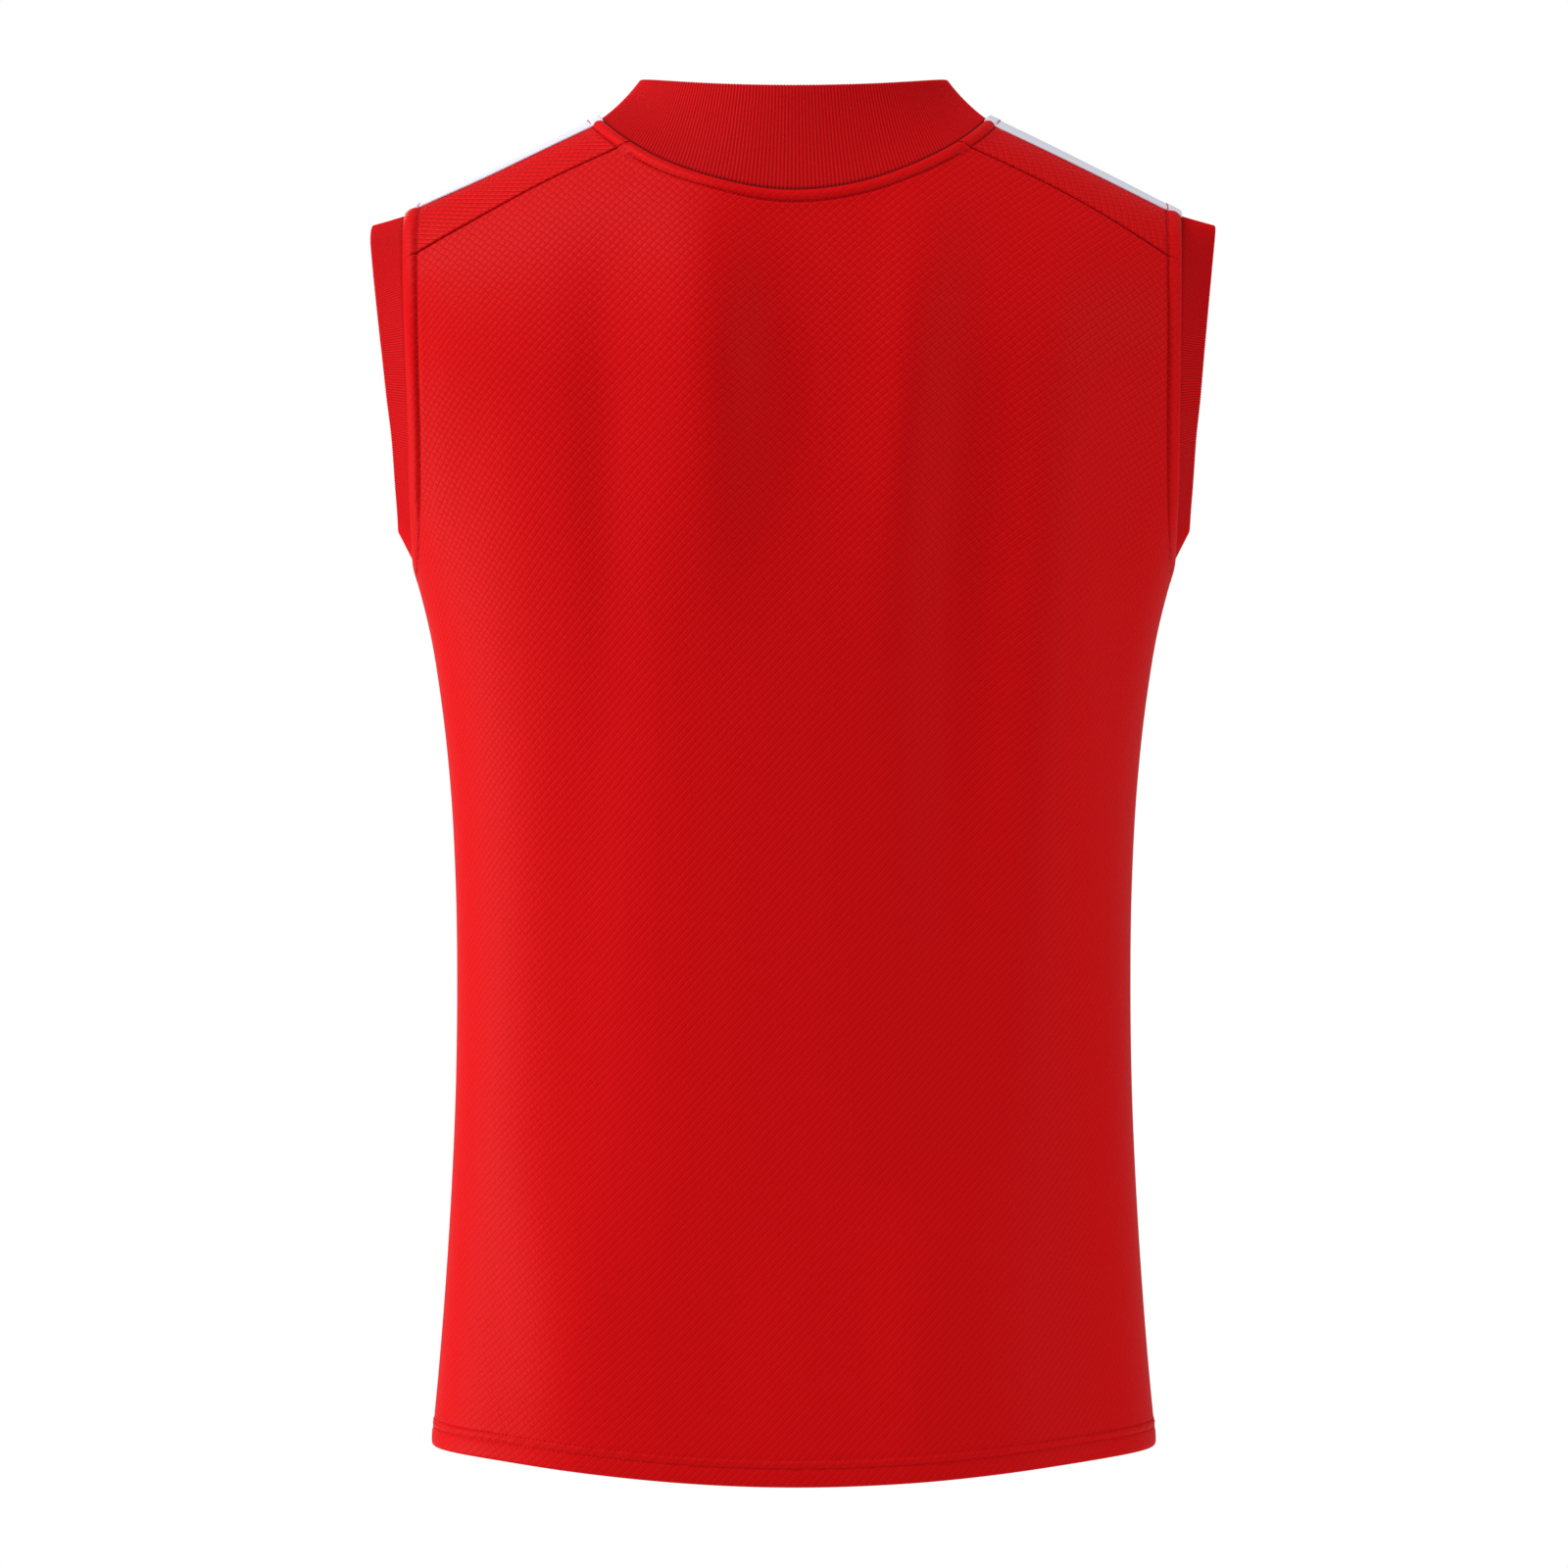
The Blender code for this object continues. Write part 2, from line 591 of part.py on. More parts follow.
def make_ribbed_ring(name, rings, normals, ribs, material, collection):
    """A ring of rib knit: ribs raised on its outside, over a plain inside.

    rings and normals hold one closed loop of stations for each row, from the seam outwards.
    """
    counts = rib_counts(rings[0], ribs)
    starts = np.concatenate([[0], np.cumsum(counts)])
    around = starts[-1]
    raised = RIB_HEIGHT * (np.arange(around) % 2)[:, None]
    outer = [
        between(ring, counts, row > 0) + raised * unit(between(normal, counts, row > 0))
        for row, (ring, normal) in enumerate(zip(rings, normals))
    ]
    inner = [ring - RIB_CLOTH * normal for ring, normal in zip(rings, normals)]
    stations = len(rings[0])
    below = around * len(rings)
    faces = []
    for row in range(len(rings) - 1):
        for i in range(around):
            j = (i + 1) % around
            faces.append((row * around + i, row * around + j,
                          (row + 1) * around + j, (row + 1) * around + i))
        for i in range(stations):
            j = (i + 1) % stations
            a, b = below + row * stations, below + (row + 1) * stations
            faces.append((a + j, a + i, b + i, b + j))
    for row, flip in ((0, True), (len(rings) - 1, False)):
        for i in range(stations):
            j = (i + 1) % stations
            here, there = below + row * stations + i, below + row * stations + j
            fine = [row * around + k % around for k in range(starts[i], starts[i + 1] + 1)]
            fan = [(here, p, q) for p, q in zip(fine[:-1], fine[1:])]
            fan.append((here, fine[-1], there))
            faces += [f[::-1] if flip else f for f in fan]
    points = np.concatenate([*outer, *inner])
    return make_solid(name, points, faces, material, collection)


def ring_normals(ring, towards):
    """Normals of a ring's wall, square to the ring and to the way that the wall runs."""
    along = np.roll(ring, -1, axis=0) - np.roll(ring, 1, axis=0)
    return unit(np.cross(unit(along), towards))


def make_armband(side_name, loop, loop_normals, mirrored, material, collection):
    """The rib band that stands out from the armhole seam and leans in over the opening."""
    sign = -1.0 if mirrored else 1.0
    seam = moved_sideways(loop, loop_normals, sign * SEAM_GAP / 2)
    centre = (seam.max(axis=0) + seam.min(axis=0)) / 2
    along = np.roll(seam, -1, axis=0) - np.roll(seam, 1, axis=0)
    inward = unit(np.stack([0 * along[:, 0], -along[:, 2], along[:, 1]], axis=-1))
    inward *= np.sign(np.sum(inward * (centre - seam), axis=-1, keepdims=True))
    angle = np.degrees(np.arctan2(np.abs(seam[:, 1] - centre[1]), seam[:, 2] - centre[2]))
    angles = column(ARMBAND_LEANS, ARMBAND_COLUMNS, "angle")
    leans = column(ARMBAND_LEANS, ARMBAND_COLUMNS, "lean")
    lean = np.radians(curve_through(angles, leans, angle))[:, None]
    out = np.array([sign, 0.0, 0.0])
    towards = np.cos(lean) * out + np.sin(lean) * inward
    edge = seam + ARMBAND_WIDTH * towards
    edge_normals = ring_normals(edge, towards)
    edge_normals *= np.sign(np.sum(edge_normals * loop_normals, axis=-1, keepdims=True))
    make_ribbed_ring(
        f"armband_{side_name}", [seam, edge], [loop_normals, edge_normals],
        ARMBAND_RIBS, material, collection,
    )


def make_collar(loop, loop_normals, material, collection):
    """The stand-up rib collar: it flares from the neck seam and narrows to its top edge."""
    seam = moved_sideways(loop, loop_normals, -SEAM_GAP / 2)
    sine = np.clip(loop[:, 0] / NECK_HALF_WIDTH, -1, 1)
    back = loop[:, 1] > 0
    cosine = np.sqrt(1 - sine**2)
    depth = np.where(back, COLLAR_TOP_BACK, -COLLAR_TOP_FRONT)
    to_back = (COLLAR_TOP_BACK_HEIGHT - COLLAR_TOP_SIDE_HEIGHT) * cosine**2
    to_front = (COLLAR_TOP_FRONT_HEIGHT - COLLAR_TOP_SIDE_HEIGHT) * cosine**COLLAR_FRONT_POWER
    top = np.stack([
        COLLAR_TOP_HALF_WIDTH * sine,
        COLLAR_TOP_CENTRE + depth * cosine,
        COLLAR_TOP_SIDE_HEIGHT + np.where(back, to_back, to_front),
    ], axis=-1)
    bend = seam + (top - seam) * np.array(COLLAR_BEND)
    share = COLLAR_FLARE
    middle = (1 - share) ** 2 * seam + 2 * share * (1 - share) * bend + share**2 * top
    rings = [seam, middle, top]
    normals = [loop_normals]
    for ring, towards in ((middle, top - seam), (top, top - bend)):
        normal = ring_normals(ring, unit(towards))
        normal *= np.sign(np.sum(normal * loop_normals, axis=-1, keepdims=True))
        normals.append(normal)
    make_ribbed_ring("collar", rings, normals, COLLAR_RIBS, material, collection)


def make_material(name, colour, roughness):
    """A plain cloth material."""
    material = bpy.data.materials.new(name)
    material.use_nodes = True
    shader = material.node_tree.nodes["Principled BSDF"]
    shader.inputs["Base Color"].default_value = colour
    shader.inputs["Roughness"].default_value = roughness
    shader.inputs["Metallic"].default_value = 0.0
    return material


def clear_scene():
    """Removes whatever the scene holds."""
    for old in list(bpy.data.objects):
        bpy.data.objects.remove(old, do_unlink=True)


def build():
    """Builds the jersey, piece by piece."""
    clear_scene()
    collection = bpy.data.collections.new("sleeveless_training_jersey")
    bpy.context.scene.collection.children.link(collection)
    materials = {
        "red": make_material("red_knit", RED, RED_ROUGHNESS),
        "rib": make_material("red_rib", RIB_RED, RIB_ROUGHNESS),
        "white": make_material("white_tape", WHITE, WHITE_ROUGHNESS),
    }

    back, front = panel_grid(BACK), panel_grid(FRONT)
    shoulder = shoulder_grid(back, front)
    back_normals, front_normals = form_normal(back, BACK), form_normal(front, FRONT)
    shoulder_left_normals = shoulder_normals(shoulder)

    def folded(grid, normals, side):
        return grid + fold_height(grid, side)[..., None] * normals

    def folded_shoulder(grid, normals):
        height = np.where(grid[..., 1] < 0, fold_height(grid, FRONT), fold_height(grid, BACK))
        return grid + height[..., None] * normals

    back_folded = folded(back, back_normals, BACK)
    front_folded = folded(front, front_normals, FRONT)
    shoulder_right = mirror(shoulder)
    shoulder_right_normals = mirror(shoulder_left_normals)
    left_folded = folded_shoulder(shoulder, shoulder_left_normals)
    right_folded = folded_shoulder(shoulder_right, shoulder_right_normals)

    first = COLUMNS_TO_CORNER
    middle = back.shape[1] // 2
    up = slice(UNDERARM_ROW, None, -1)

    def armhole(back_grid, front_grid, shoulder_points, edge):
        return np.concatenate([
            back_grid[up, edge], shoulder_points[-1, ::-1][1:-1],
            front_grid[: UNDERARM_ROW, edge],
        ])

    left_loop = armhole(back_folded, front_folded, left_folded, -1)
    left_loop_normals = armhole(back_normals, front_normals, shoulder_left_normals, -1)
    right_loop = armhole(back_folded, front_folded, right_folded, 0)
    right_loop_normals = armhole(back_normals, front_normals, shoulder_right_normals, 0)

    def neck(back_grid, front_grid, left, right):
        near = slice(middle - first, middle + first + 1)
        return np.concatenate([
            back_grid[0, near], left[0, ::-1][1:-1],
            front_grid[0, near][::-1], right[0][1:-1],
        ])

    neck_loop = neck(back_folded, front_folded, left_folded, right_folded)
    neck_loop_normals = neck(
        back_normals, front_normals, shoulder_left_normals, shoulder_right_normals
    )
    seams = [np.concatenate([loop, loop[:1]]) for loop in (neck_loop, left_loop, right_loop)]

    make_panel("back_panel", back_folded, back_normals, seams, materials["red"], collection)
    make_panel("front_panel", front_folded, front_normals, seams, materials["red"], collection)
    make_shoulder("left", left_folded, shoulder_left_normals, seams, materials, collection)
    make_shoulder("right", right_folded, shoulder_right_normals, seams, materials, collection)
    make_armband("left", left_loop, left_loop_normals, False, materials["rib"], collection)
    make_armband("right", right_loop, right_loop_normals, True, materials["rib"], collection)
    make_collar(neck_loop, neck_loop_normals, materials["rib"], collection)


build()
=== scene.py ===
"""Sleeveless training jersey in red knit, filled out as if worn, with nothing inside it.

Axes: +Z up, the wearer faces -Y, the wearer's left is +X. Every shape is worked out in
millimetres on one hollow form, with level rings below the arms and arches over the shoulders,
and weave_mesh turns it into metres. The panels are grids on that form, the collar and the
armbands are rib knit carried round the neck and armhole seams, and the sewing lies on top.
"""

import logging
import math
from dataclasses import dataclass, field
from enum import Enum

import bpy
import numpy as np
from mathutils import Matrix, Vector

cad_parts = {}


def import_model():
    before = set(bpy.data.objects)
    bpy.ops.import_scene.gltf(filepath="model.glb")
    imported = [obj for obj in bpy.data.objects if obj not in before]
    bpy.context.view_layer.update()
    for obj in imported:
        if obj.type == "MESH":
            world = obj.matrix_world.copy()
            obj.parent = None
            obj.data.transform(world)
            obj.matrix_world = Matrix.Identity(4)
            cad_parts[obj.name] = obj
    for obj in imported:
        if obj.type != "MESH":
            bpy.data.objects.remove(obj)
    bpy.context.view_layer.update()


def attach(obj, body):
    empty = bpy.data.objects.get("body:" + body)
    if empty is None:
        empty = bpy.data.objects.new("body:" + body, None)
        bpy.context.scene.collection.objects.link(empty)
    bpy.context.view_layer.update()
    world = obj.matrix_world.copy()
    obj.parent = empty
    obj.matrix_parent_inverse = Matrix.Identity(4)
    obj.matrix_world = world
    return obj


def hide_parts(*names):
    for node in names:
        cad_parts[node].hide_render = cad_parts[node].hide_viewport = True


Array = np.ndarray
Pair = tuple[float, float]
Triple = tuple[float, float, float]
Colour = tuple[float, float, float, float]
Table = tuple[tuple[float, ...], ...]
Value = bpy.types.NodeSocket | float
Material = bpy.types.Material
log = logging.getLogger("training_jersey")

MM = 0.001
TINY = 1e-9                  # length under which a vector has no direction
THIN = 1e-6                  # least depth of a ring, at its side edges
SETTLING = 60                # rounds in which a point on a curved edge finds its height
SAMPLES = 700                # samples of a section or a seam while its stations are spaced
UV_NAME = "cloth"
RIB_VALUE = "rib"            # 1 on a rib's crest, 0 in its groove
PAINTED_SHADE_VALUE = "painted_shade"    # painted shade, 1 in the depth of a seam
TAUT_VALUE = "taut"          # 1 where sewing has pressed the knit smooth


class Side(Enum):
    """Half of the body that a piece covers. The value is the sign of its depth."""

    BACK = 1
    FRONT = -1


class Hand(Enum):
    """Arm that a piece is on. The value is the sign of its x."""

    LEFT = 1
    RIGHT = -1


class Slot(Enum):
    """Material slots of the record."""

    KNIT = "red_knit"
    RIB = "red_rib"
    TAPE = "white_tape"


# --- Small sums ---
def unit(vectors: Array) -> Array:
    """Scales the vectors along the last axis to length 1."""
    return vectors / np.maximum(np.linalg.norm(vectors, axis=-1, keepdims=True), TINY)


def smooth_step(value: Array, low: float, high: float) -> Array:
    """Rises from 0 at low to 1 at high along 3t^2 - 2t^3."""
    t = np.clip((value - low) / (high - low), 0.0, 1.0)
    return t * t * (3.0 - 2.0 * t)


def bell(value: Array, width: float) -> Array:
    """Gives exp(-(value / width)^2), a bump of height 1 at 0."""
    return np.exp(-((value / width) ** 2))


def curve_through(knots: Array, values: Array, at: Array) -> Array:
    """Reads a smooth curve through a table, a cubic with the neighbours' mean slope at each knot.

    Args:
        knots: rising positions of the table's rows.
        values: the table's values there.
        at: where to read it.

    Returns:
        The curve's value at each place, held constant past the table's ends.
    """
    slopes = np.gradient(values, knots)
    at = np.clip(at, knots[0], knots[-1])
    i = np.clip(np.searchsorted(knots, at, side="right") - 1, 0, len(knots) - 2)
    span = knots[i + 1] - knots[i]
    t = (at - knots[i]) / span
    start = (2 * t**3 - 3 * t**2 + 1) * values[i] + (t**3 - 2 * t**2 + t) * span * slopes[i]
    end = (3 * t**2 - 2 * t**3) * values[i + 1] + (t**3 - t**2) * span * slopes[i + 1]
    return start + end


def read_table(table: Table, at: Array) -> Array:
    """Reads the smooth curve through a table's places and values."""
    return curve_through(*np.array(table).T, at)


def spaced(length: float, step: float, ends: tuple[float, ...], stretch: float = 1.0) -> Array:
    """Spaces stations along a length, close together near both ends and even between them.

    Args:
        length: length to cover.
        step: distance between stations in the even stretch.
        ends: rising distances of the close stations from an end, starting at 0.
        stretch: how much further the far end's stations lie from it.

    Returns:
        Shares of the length, from 0 to 1.
    """
    near = np.array(ends)
    far = length - stretch * near[::-1]
    count = max(int(round((far[0] - near[-1]) / step)), 1)
    middle = np.linspace(near[-1], far[0], count + 1)[1:-1]
    return np.concatenate([near, middle, far]) / length


def closed(points: Array) -> Array:
    """Repeats the first of a ring of points at its end."""
    return np.concatenate([points, points[:1]])


def lengths(points: Array, axis: int = 0) -> Array:
    """Measures how far from the first point each point along an axis lies."""
    steps = np.linalg.norm(np.diff(points, axis=axis), axis=-1)
    return np.insert(np.cumsum(steps, axis=axis), 0, 0.0, axis=axis)


# --- The form ---
@dataclass(frozen=True)
class Level:
    """One level ring of the form."""

    height: float
    half_width: float
    back: float
    front: float


@dataclass(frozen=True)
class Crease:
    """One soft fold, a ridge where crest is positive and a trough where it is negative.

    It runs down from (x_top, z_top) to (x_foot, z_foot), bends aside by bow on its way, and its
    flanks are half_width across, the one towards +X broader by the share lean.
    """

    x_top: float
    z_top: float
    x_foot: float
    z_foot: float
    half_width: float
    crest: float
    lean: float = 0.0
    bow: float = 0.0

    RISE = 0.7
    FADE = 1.9

    def height(self, x: Array, z: Array) -> Array:
        """Height of the fold: a bell across its line, times sin(pi s^RISE)^FADE along it.

        Args:
            x: sideways place.
            z: height.

        Returns:
            How far the fold lifts the cloth there.
        """
        along = np.clip((self.z_top - z) / (self.z_top - self.z_foot), 0.0, 1.0)
        line = self.x_top + (self.x_foot - self.x_top) * along + self.bow * 4 * along * (1 - along)
        across = x - line
        flank = self.half_width * np.where(across > 0, 1 + self.lean, 1 - self.lean)
        fade = np.sin(math.pi * along**self.RISE) ** self.FADE
        return self.crest * fade * np.exp(-((across / flank) ** 2))


@dataclass(frozen=True)
class HalfCut:
    """Sizes in which the back and the front of the jersey differ."""

    neck_drop: float
    neck_power: float
    arch_height: float
    yoke_neck: float
    yoke_tip: float
    hem_drop: float
    creases: tuple[Crease, ...]


BACK_CREASES = (
    Crease(54, -28, 58, -318, 30, 9, 0.15, -13),
    Crease(3, -36, 10, -300, 28, -5),
    Crease(-74, -14, -48, -350, 24, 5.8, -0.1),
    Crease(-92, -50, -80, -640, 24, -6, -0.1),
    Crease(-141, -55, -130, -660, 27, 7.4, 0.1),
    Crease(-182, -80, -178, -560, 18, -3.6),
    Crease(104, -60, 95, -450, 17, -2.2),
    Crease(112, -260, 116, -660, 24, -1.8),
    Crease(214, 20, 212, -200, 30, 3.4),
    Crease(178, -150, 186, -330, 22, -2),
    Crease(168, -560, 160, -820, 22, -2.4),
    Crease(118, -580, 120, -820, 26, 2),
    Crease(38, -580, 34, -820, 34, -2),
    Crease(-66, -580, -70, -820, 24, 3.2),
    Crease(-106, -560, -110, -850, 34, 4),
)
FRONT_CREASES = (
    Crease(88, -110, 76, -430, 26, 4.4, 0.1),
    Crease(40, -130, 34, -400, 24, -3.8),
    Crease(-30, -124, -22, -560, 26, 3.6, -0.1),
    Crease(-80, -90, -70, -480, 22, -4),
    Crease(-120, -80, -110, -440, 24, 4.6, 0.1),
    Crease(146, -110, 132, -420, 22, -2.8, 0, -8),
    Crease(56, -460, 64, -810, 34, 2.6),
    Crease(-60, -530, -66, -820, 28, -2.4),
    Crease(-124, -480, -132, -810, 28, 3),
    Crease(124, -560, 128, -820, 26, -2.2),
)


@dataclass(frozen=True)
class JerseyForm:
    """The hollow form that the panels are cut from, and the seam lines on it."""

    roundness: float = 2.4
    neck_half_width: float = 107.7
    side_neck_height: float = -0.6
    shoulder_slope: float = 0.535
    shoulder_softness: float = 60.0
    shoulder_tip: float = 212.0
    arch_at_tip: float = 95.0
    underarm: float = -249.0
    hem_side: float = -735.0
    hem_power: float = 1.8
    yoke_bow: float = 4.3
    side_fade: float = 35.0
    levels: tuple[Level, ...] = (
        Level(-770, 203, 106, 107),
        Level(-729, 200, 105, 106),
        Level(-696, 196.9, 104, 105),
        Level(-650, 193.2, 102.5, 104),
        Level(-598, 189.9, 101, 103.5),
        Level(-540, 187.4, 100.5, 103.5),
        Level(-484, 186.6, 101, 104.5),
        Level(-425, 187.4, 102, 107),
        Level(-370, 190.4, 103.5, 110),
        Level(-321, 195.8, 105, 113.5),
        Level(-288, 201.2, 106, 116),
        Level(-249, 211, 107.5, 117.5),
        Level(-200, 224, 109, 117),
        Level(-150, 234, 109.5, 113),
        Level(-100, 238.5, 108, 106),
        Level(-50, 240, 104.5, 99),
        Level(0, 240, 100, 92),
        Level(50, 240, 95, 86),
    )
    armhole: Table = (
        (-249.0, 211.0),
        (-225.0, 210.5),
        (-190.0, 210.4),
        (-150.0, 210.6),
        (-110.0, 211.3),
        (-75.0, 212.7),
        (-40.0, 214.8),
    )
    back: HalfCut = HalfCut(48.7, 1.6, 170.0, 89.0, -86.3, 12.5, BACK_CREASES)
    front: HalfCut = HalfCut(81.0, 1.2, 230.0, 97.0, -94.0, 5.0, FRONT_CREASES)

    SLOPE_STEP = 0.02      # half the stretch over which a slope is measured
    NEWTON_STEPS = 3
    TOP_GUESS = -53.0      # near the height at which an armhole crosses the ridge

    def cut(self, sign: Array, name: str) -> Array:
        """Reads a size of the back cut where sign is positive and of the front cut elsewhere."""
        return np.where(np.asarray(sign) > 0, getattr(self.back, name), getattr(self.front, name))

    def level(self, z: Array, name: str) -> Array:
        """Reads a size of the level rings at height z."""
        heights = np.array([ring.height for ring in self.levels])
        return curve_through(heights, np.array([getattr(ring, name) for ring in self.levels]), z)

    def depth_at(self, z: Array, sign: Array) -> Array:
        """Reads the depth of the level rings at height z, behind or before the side seams."""
        return np.where(np.asarray(sign) > 0, self.level(z, "back"), self.level(z, "front"))

    def armhole_x(self, z: Array) -> Array:
        """Gives the armhole seam's distance from the middle at height z."""
        return read_table(self.armhole, z)

    def ridge_z(self, x: Array) -> Array:
        """Gives the shoulder ridge's height: a line that falls outwards, level at the neck."""
        reach = np.hypot(x, self.shoulder_softness)
        start = math.hypot(self.neck_half_width, self.shoulder_softness)
        return self.side_neck_height - self.shoulder_slope * (reach - start)

    def arch(self, x: Array, sign: Array) -> Array:
        """Gives the height over which the arch at x falls from the ridge to its full depth."""
        middle = self.cut(sign, "arch_height")
        return middle + (self.arch_at_tip - middle) * (x / self.shoulder_tip) ** 2

    def ring_depth(self, x: Array, z: Array, sign: Array) -> Array:
        """Gives the level ring's depth at x: (x / W)^n + (y / D)^n = 1, solved for y."""
        share = np.clip(1 - (np.abs(x) / self.level(z, "half_width")) ** self.roundness, 0, None)
        return self.depth_at(z, sign) * share ** (1 / self.roundness)

    def point(self, x: Array, z: Array, sign: Array) -> Array:
        """Points of the form: the ring's depth, drawn in towards the ridge as a quarter ellipse.

        Args:
            x: sideways places.
            z: heights.
            sign: 1 behind and -1 in front.

        Returns:
            Points, with x, y and z along the last axis.
        """
        fall = np.clip((self.ridge_z(x) - z) / self.arch(x, sign), 0, 1)
        y = sign * self.ring_depth(x, z, sign) * np.sqrt(fall * (2 - fall))
        return np.stack(np.broadcast_arrays(x, y, z), axis=-1)

    def _arch_value(self, x: Array, y: Array, z: Array, sign: Array) -> Array:
        """Gives (y / depth)^2 + (1 - fall)^2, which is 1 on the arches."""
        rest = 1 - (self.ridge_z(x) - z) / self.arch(x, sign)
        return (y / np.maximum(self.ring_depth(x, z, sign), THIN)) ** 2 + rest**2

    def _ring_value(self, x: Array, y: Array, z: Array, sign: Array) -> Array:
        """Gives (x / W)^n + (y / D)^n, which is 1 on the level rings."""
        width = np.abs(x) / self.level(z, "half_width")
        depth = np.abs(y) / self.depth_at(z, sign)
        return width**self.roundness + depth**self.roundness

    def slope(self, points: Array, sign: Array) -> tuple[Array, Array]:
        """Measures the form's value and its gradient, by central differences.

        Args:
            points: points on or near the form.
            sign: 1 behind and -1 in front.

        Returns:
            The value, 1 on the form, and the gradient, which points outwards.
        """
        x, y, z = np.moveaxis(points, -1, 0)
        on_arch = self.ridge_z(x) - z < self.arch(x, sign)
        h = self.SLOPE_STEP
        values, gradients = [], []
        for value in (self._arch_value, self._ring_value):
            values.append(value(x, y, z, sign))
            gradients.append(np.stack([
                value(x + h, y, z, sign) - value(x - h, y, z, sign),
                value(x, y + h, z, sign) - value(x, y - h, z, sign),
                value(x, y, z + h, sign) - value(x, y, z - h, sign),
            ], axis=-1) / (2 * h))
        return (
            np.where(on_arch, values[0], values[1]),
            np.where(on_arch[..., None], gradients[0], gradients[1]),
        )

    def normal(self, points: Array, sign: Array) -> Array:
        """Gives the outward normals of the form."""
        return unit(self.slope(points, sign)[1])

    def settle(self, points: Array, sign: Array) -> Array:
        """Moves points onto the form along its gradient, by Newton's method.

        Args:
            points: points near the form.
            sign: 1 behind and -1 in front.

        Returns:
            The points on the form.
        """
        for _ in range(self.NEWTON_STEPS):
            value, gradient = self.slope(points, sign)
            square = np.sum(gradient**2, axis=-1)
            points = points - ((value - 1) / np.maximum(square, TINY))[..., None] * gradient
        return points

    def crease_height(self, points: Array, sign: Array) -> Array:
        """Adds up the soft folds, which fade out towards the side seams.

        Args:
            points: points of the form.
            sign: 1 behind and -1 in front.

        Returns:
            How far the folds lift the cloth.
        """
        x, y, z = np.moveaxis(points, -1, 0)
        back = sum(crease.height(x, z) for crease in self.back.creases)
        front = sum(crease.height(x, z) for crease in self.front.creases)
        height = np.where(np.asarray(sign) > 0, back, front)
        return height * smooth_step(np.abs(y), 0, self.side_fade)

    def folded(self, points: Array, sign: Array) -> tuple[Array, Array]:
        """Lifts points of the form by the soft folds, and gives the form's normals there."""
        normals = self.normal(points, sign)
        return points + self.crease_height(points, sign)[..., None] * normals, normals

    def neck_z(self, x: Array, sign: Array) -> Array:
        """Gives the neck seam's height at x."""
        cosine = np.sqrt(np.clip(1 - (x / self.neck_half_width) ** 2, 0, 1))
        fall = cosine ** self.cut(sign, "neck_power")
        return self.side_neck_height - self.cut(sign, "neck_drop") * fall

    def yoke_z(self, x: Array, sign: Array) -> Array:
        """Gives the height of the shoulder panel's seam, a bowed line from neck to armhole.

        Args:
            x: sideways places.
            sign: 1 behind and -1 in front.

        Returns:
            The heights.
        """
        start = self.cut(sign, "yoke_neck")
        share = (np.abs(x) - start) / (self.shoulder_tip - start)
        line = self.neck_z(start, sign) * (1 - share) + self.cut(sign, "yoke_tip") * share
        return line + self.yoke_bow * np.sin(math.pi * np.clip(share, 0, 1))

    def top_z(self, x: Array, sign: Array) -> Array:
        """Gives the top edge of a body panel: the neck seam, then the shoulder panel's seam."""
        near = np.abs(x) <= self.cut(sign, "yoke_neck")
        return np.where(near, self.neck_z(x, sign), self.yoke_z(x, sign))

    def hem_z(self, x: Array, sign: Array) -> Array:
        """Gives the hem's height at x. It hangs lower in the middle."""
        share = np.clip(1 - (x / self.level(np.array(self.hem_side), "half_width")) ** 2, 0, 1)
        return self.hem_side - self.cut(sign, "hem_drop") * share**self.hem_power

    def _seam_angle(self, x: Array, sign: Array) -> Array:
        """Gives the arch's angle from the ridge to the shoulder panel's seam."""
        drop = (self.ridge_z(x) - self.yoke_z(x, sign)) / self.arch(x, sign)
        return np.arccos(1 - drop)

    def arch_share(self, x: Array, z: Array, sign: Array) -> Array:
        """Says how far round the arch a point lies: 0 on the ridge, 1 on the yoke seam."""
        angle = np.arccos(np.clip(1 - (self.ridge_z(x) - z) / self.arch(x, sign), -1, 1))
        return angle / self._seam_angle(x, sign)

    def arch_z(self, x: Array, share: Array, sign: Array) -> Array:
        """Gives the height of the point that lies that share of the way round the arch."""
        angle = share * self._seam_angle(x, sign)
        return self.ridge_z(x) - self.arch(x, sign) * (1 - np.cos(angle))

    def neck_x_at(self, share: Array, side: Side) -> Array:
        """Finds where the neck seam crosses a share of the arch.

        Args:
            share: share of the way from the ridge to the yoke seam.
            side: which half of the body.

        Returns:
            The distance from the middle.
        """
        sign = side.value
        start = math.asin(float(self.cut(sign, "yoke_neck")) / self.neck_half_width)
        x = self.neck_half_width * np.sin(np.linspace(start, math.pi / 2, SAMPLES))
        shares = self.arch_share(x, self.neck_z(x, sign), sign)
        order = np.argsort(shares)
        return np.interp(share, shares[order], x[order])

    def armhole_x_at(self, share: Array, side: Side) -> Array:
        """Finds where the armhole seam crosses a share of the arch.

        Args:
            share: share of the way from the ridge to the yoke seam.
            side: which half of the body.

        Returns:
            The distance from the middle.
        """
        x = self.shoulder_tip
        for _ in range(SETTLING):
            x = self.armhole_x(self.arch_z(x, share, side.value))
        return x

    def neck_loop(self) -> tuple[Array, Array]:
        """Traces the neck seam from the centre back towards +X and round.

        Returns:
            Points of the closed loop, close together, and the sign of each.
        """
        angle = np.linspace(0, 2 * math.pi, 4 * SAMPLES, endpoint=False)
        x = self.neck_half_width * np.sin(angle)
        sign = np.where(np.cos(angle) >= 0, 1, -1)
        return self.point(x, self.neck_z(x, sign), sign), sign

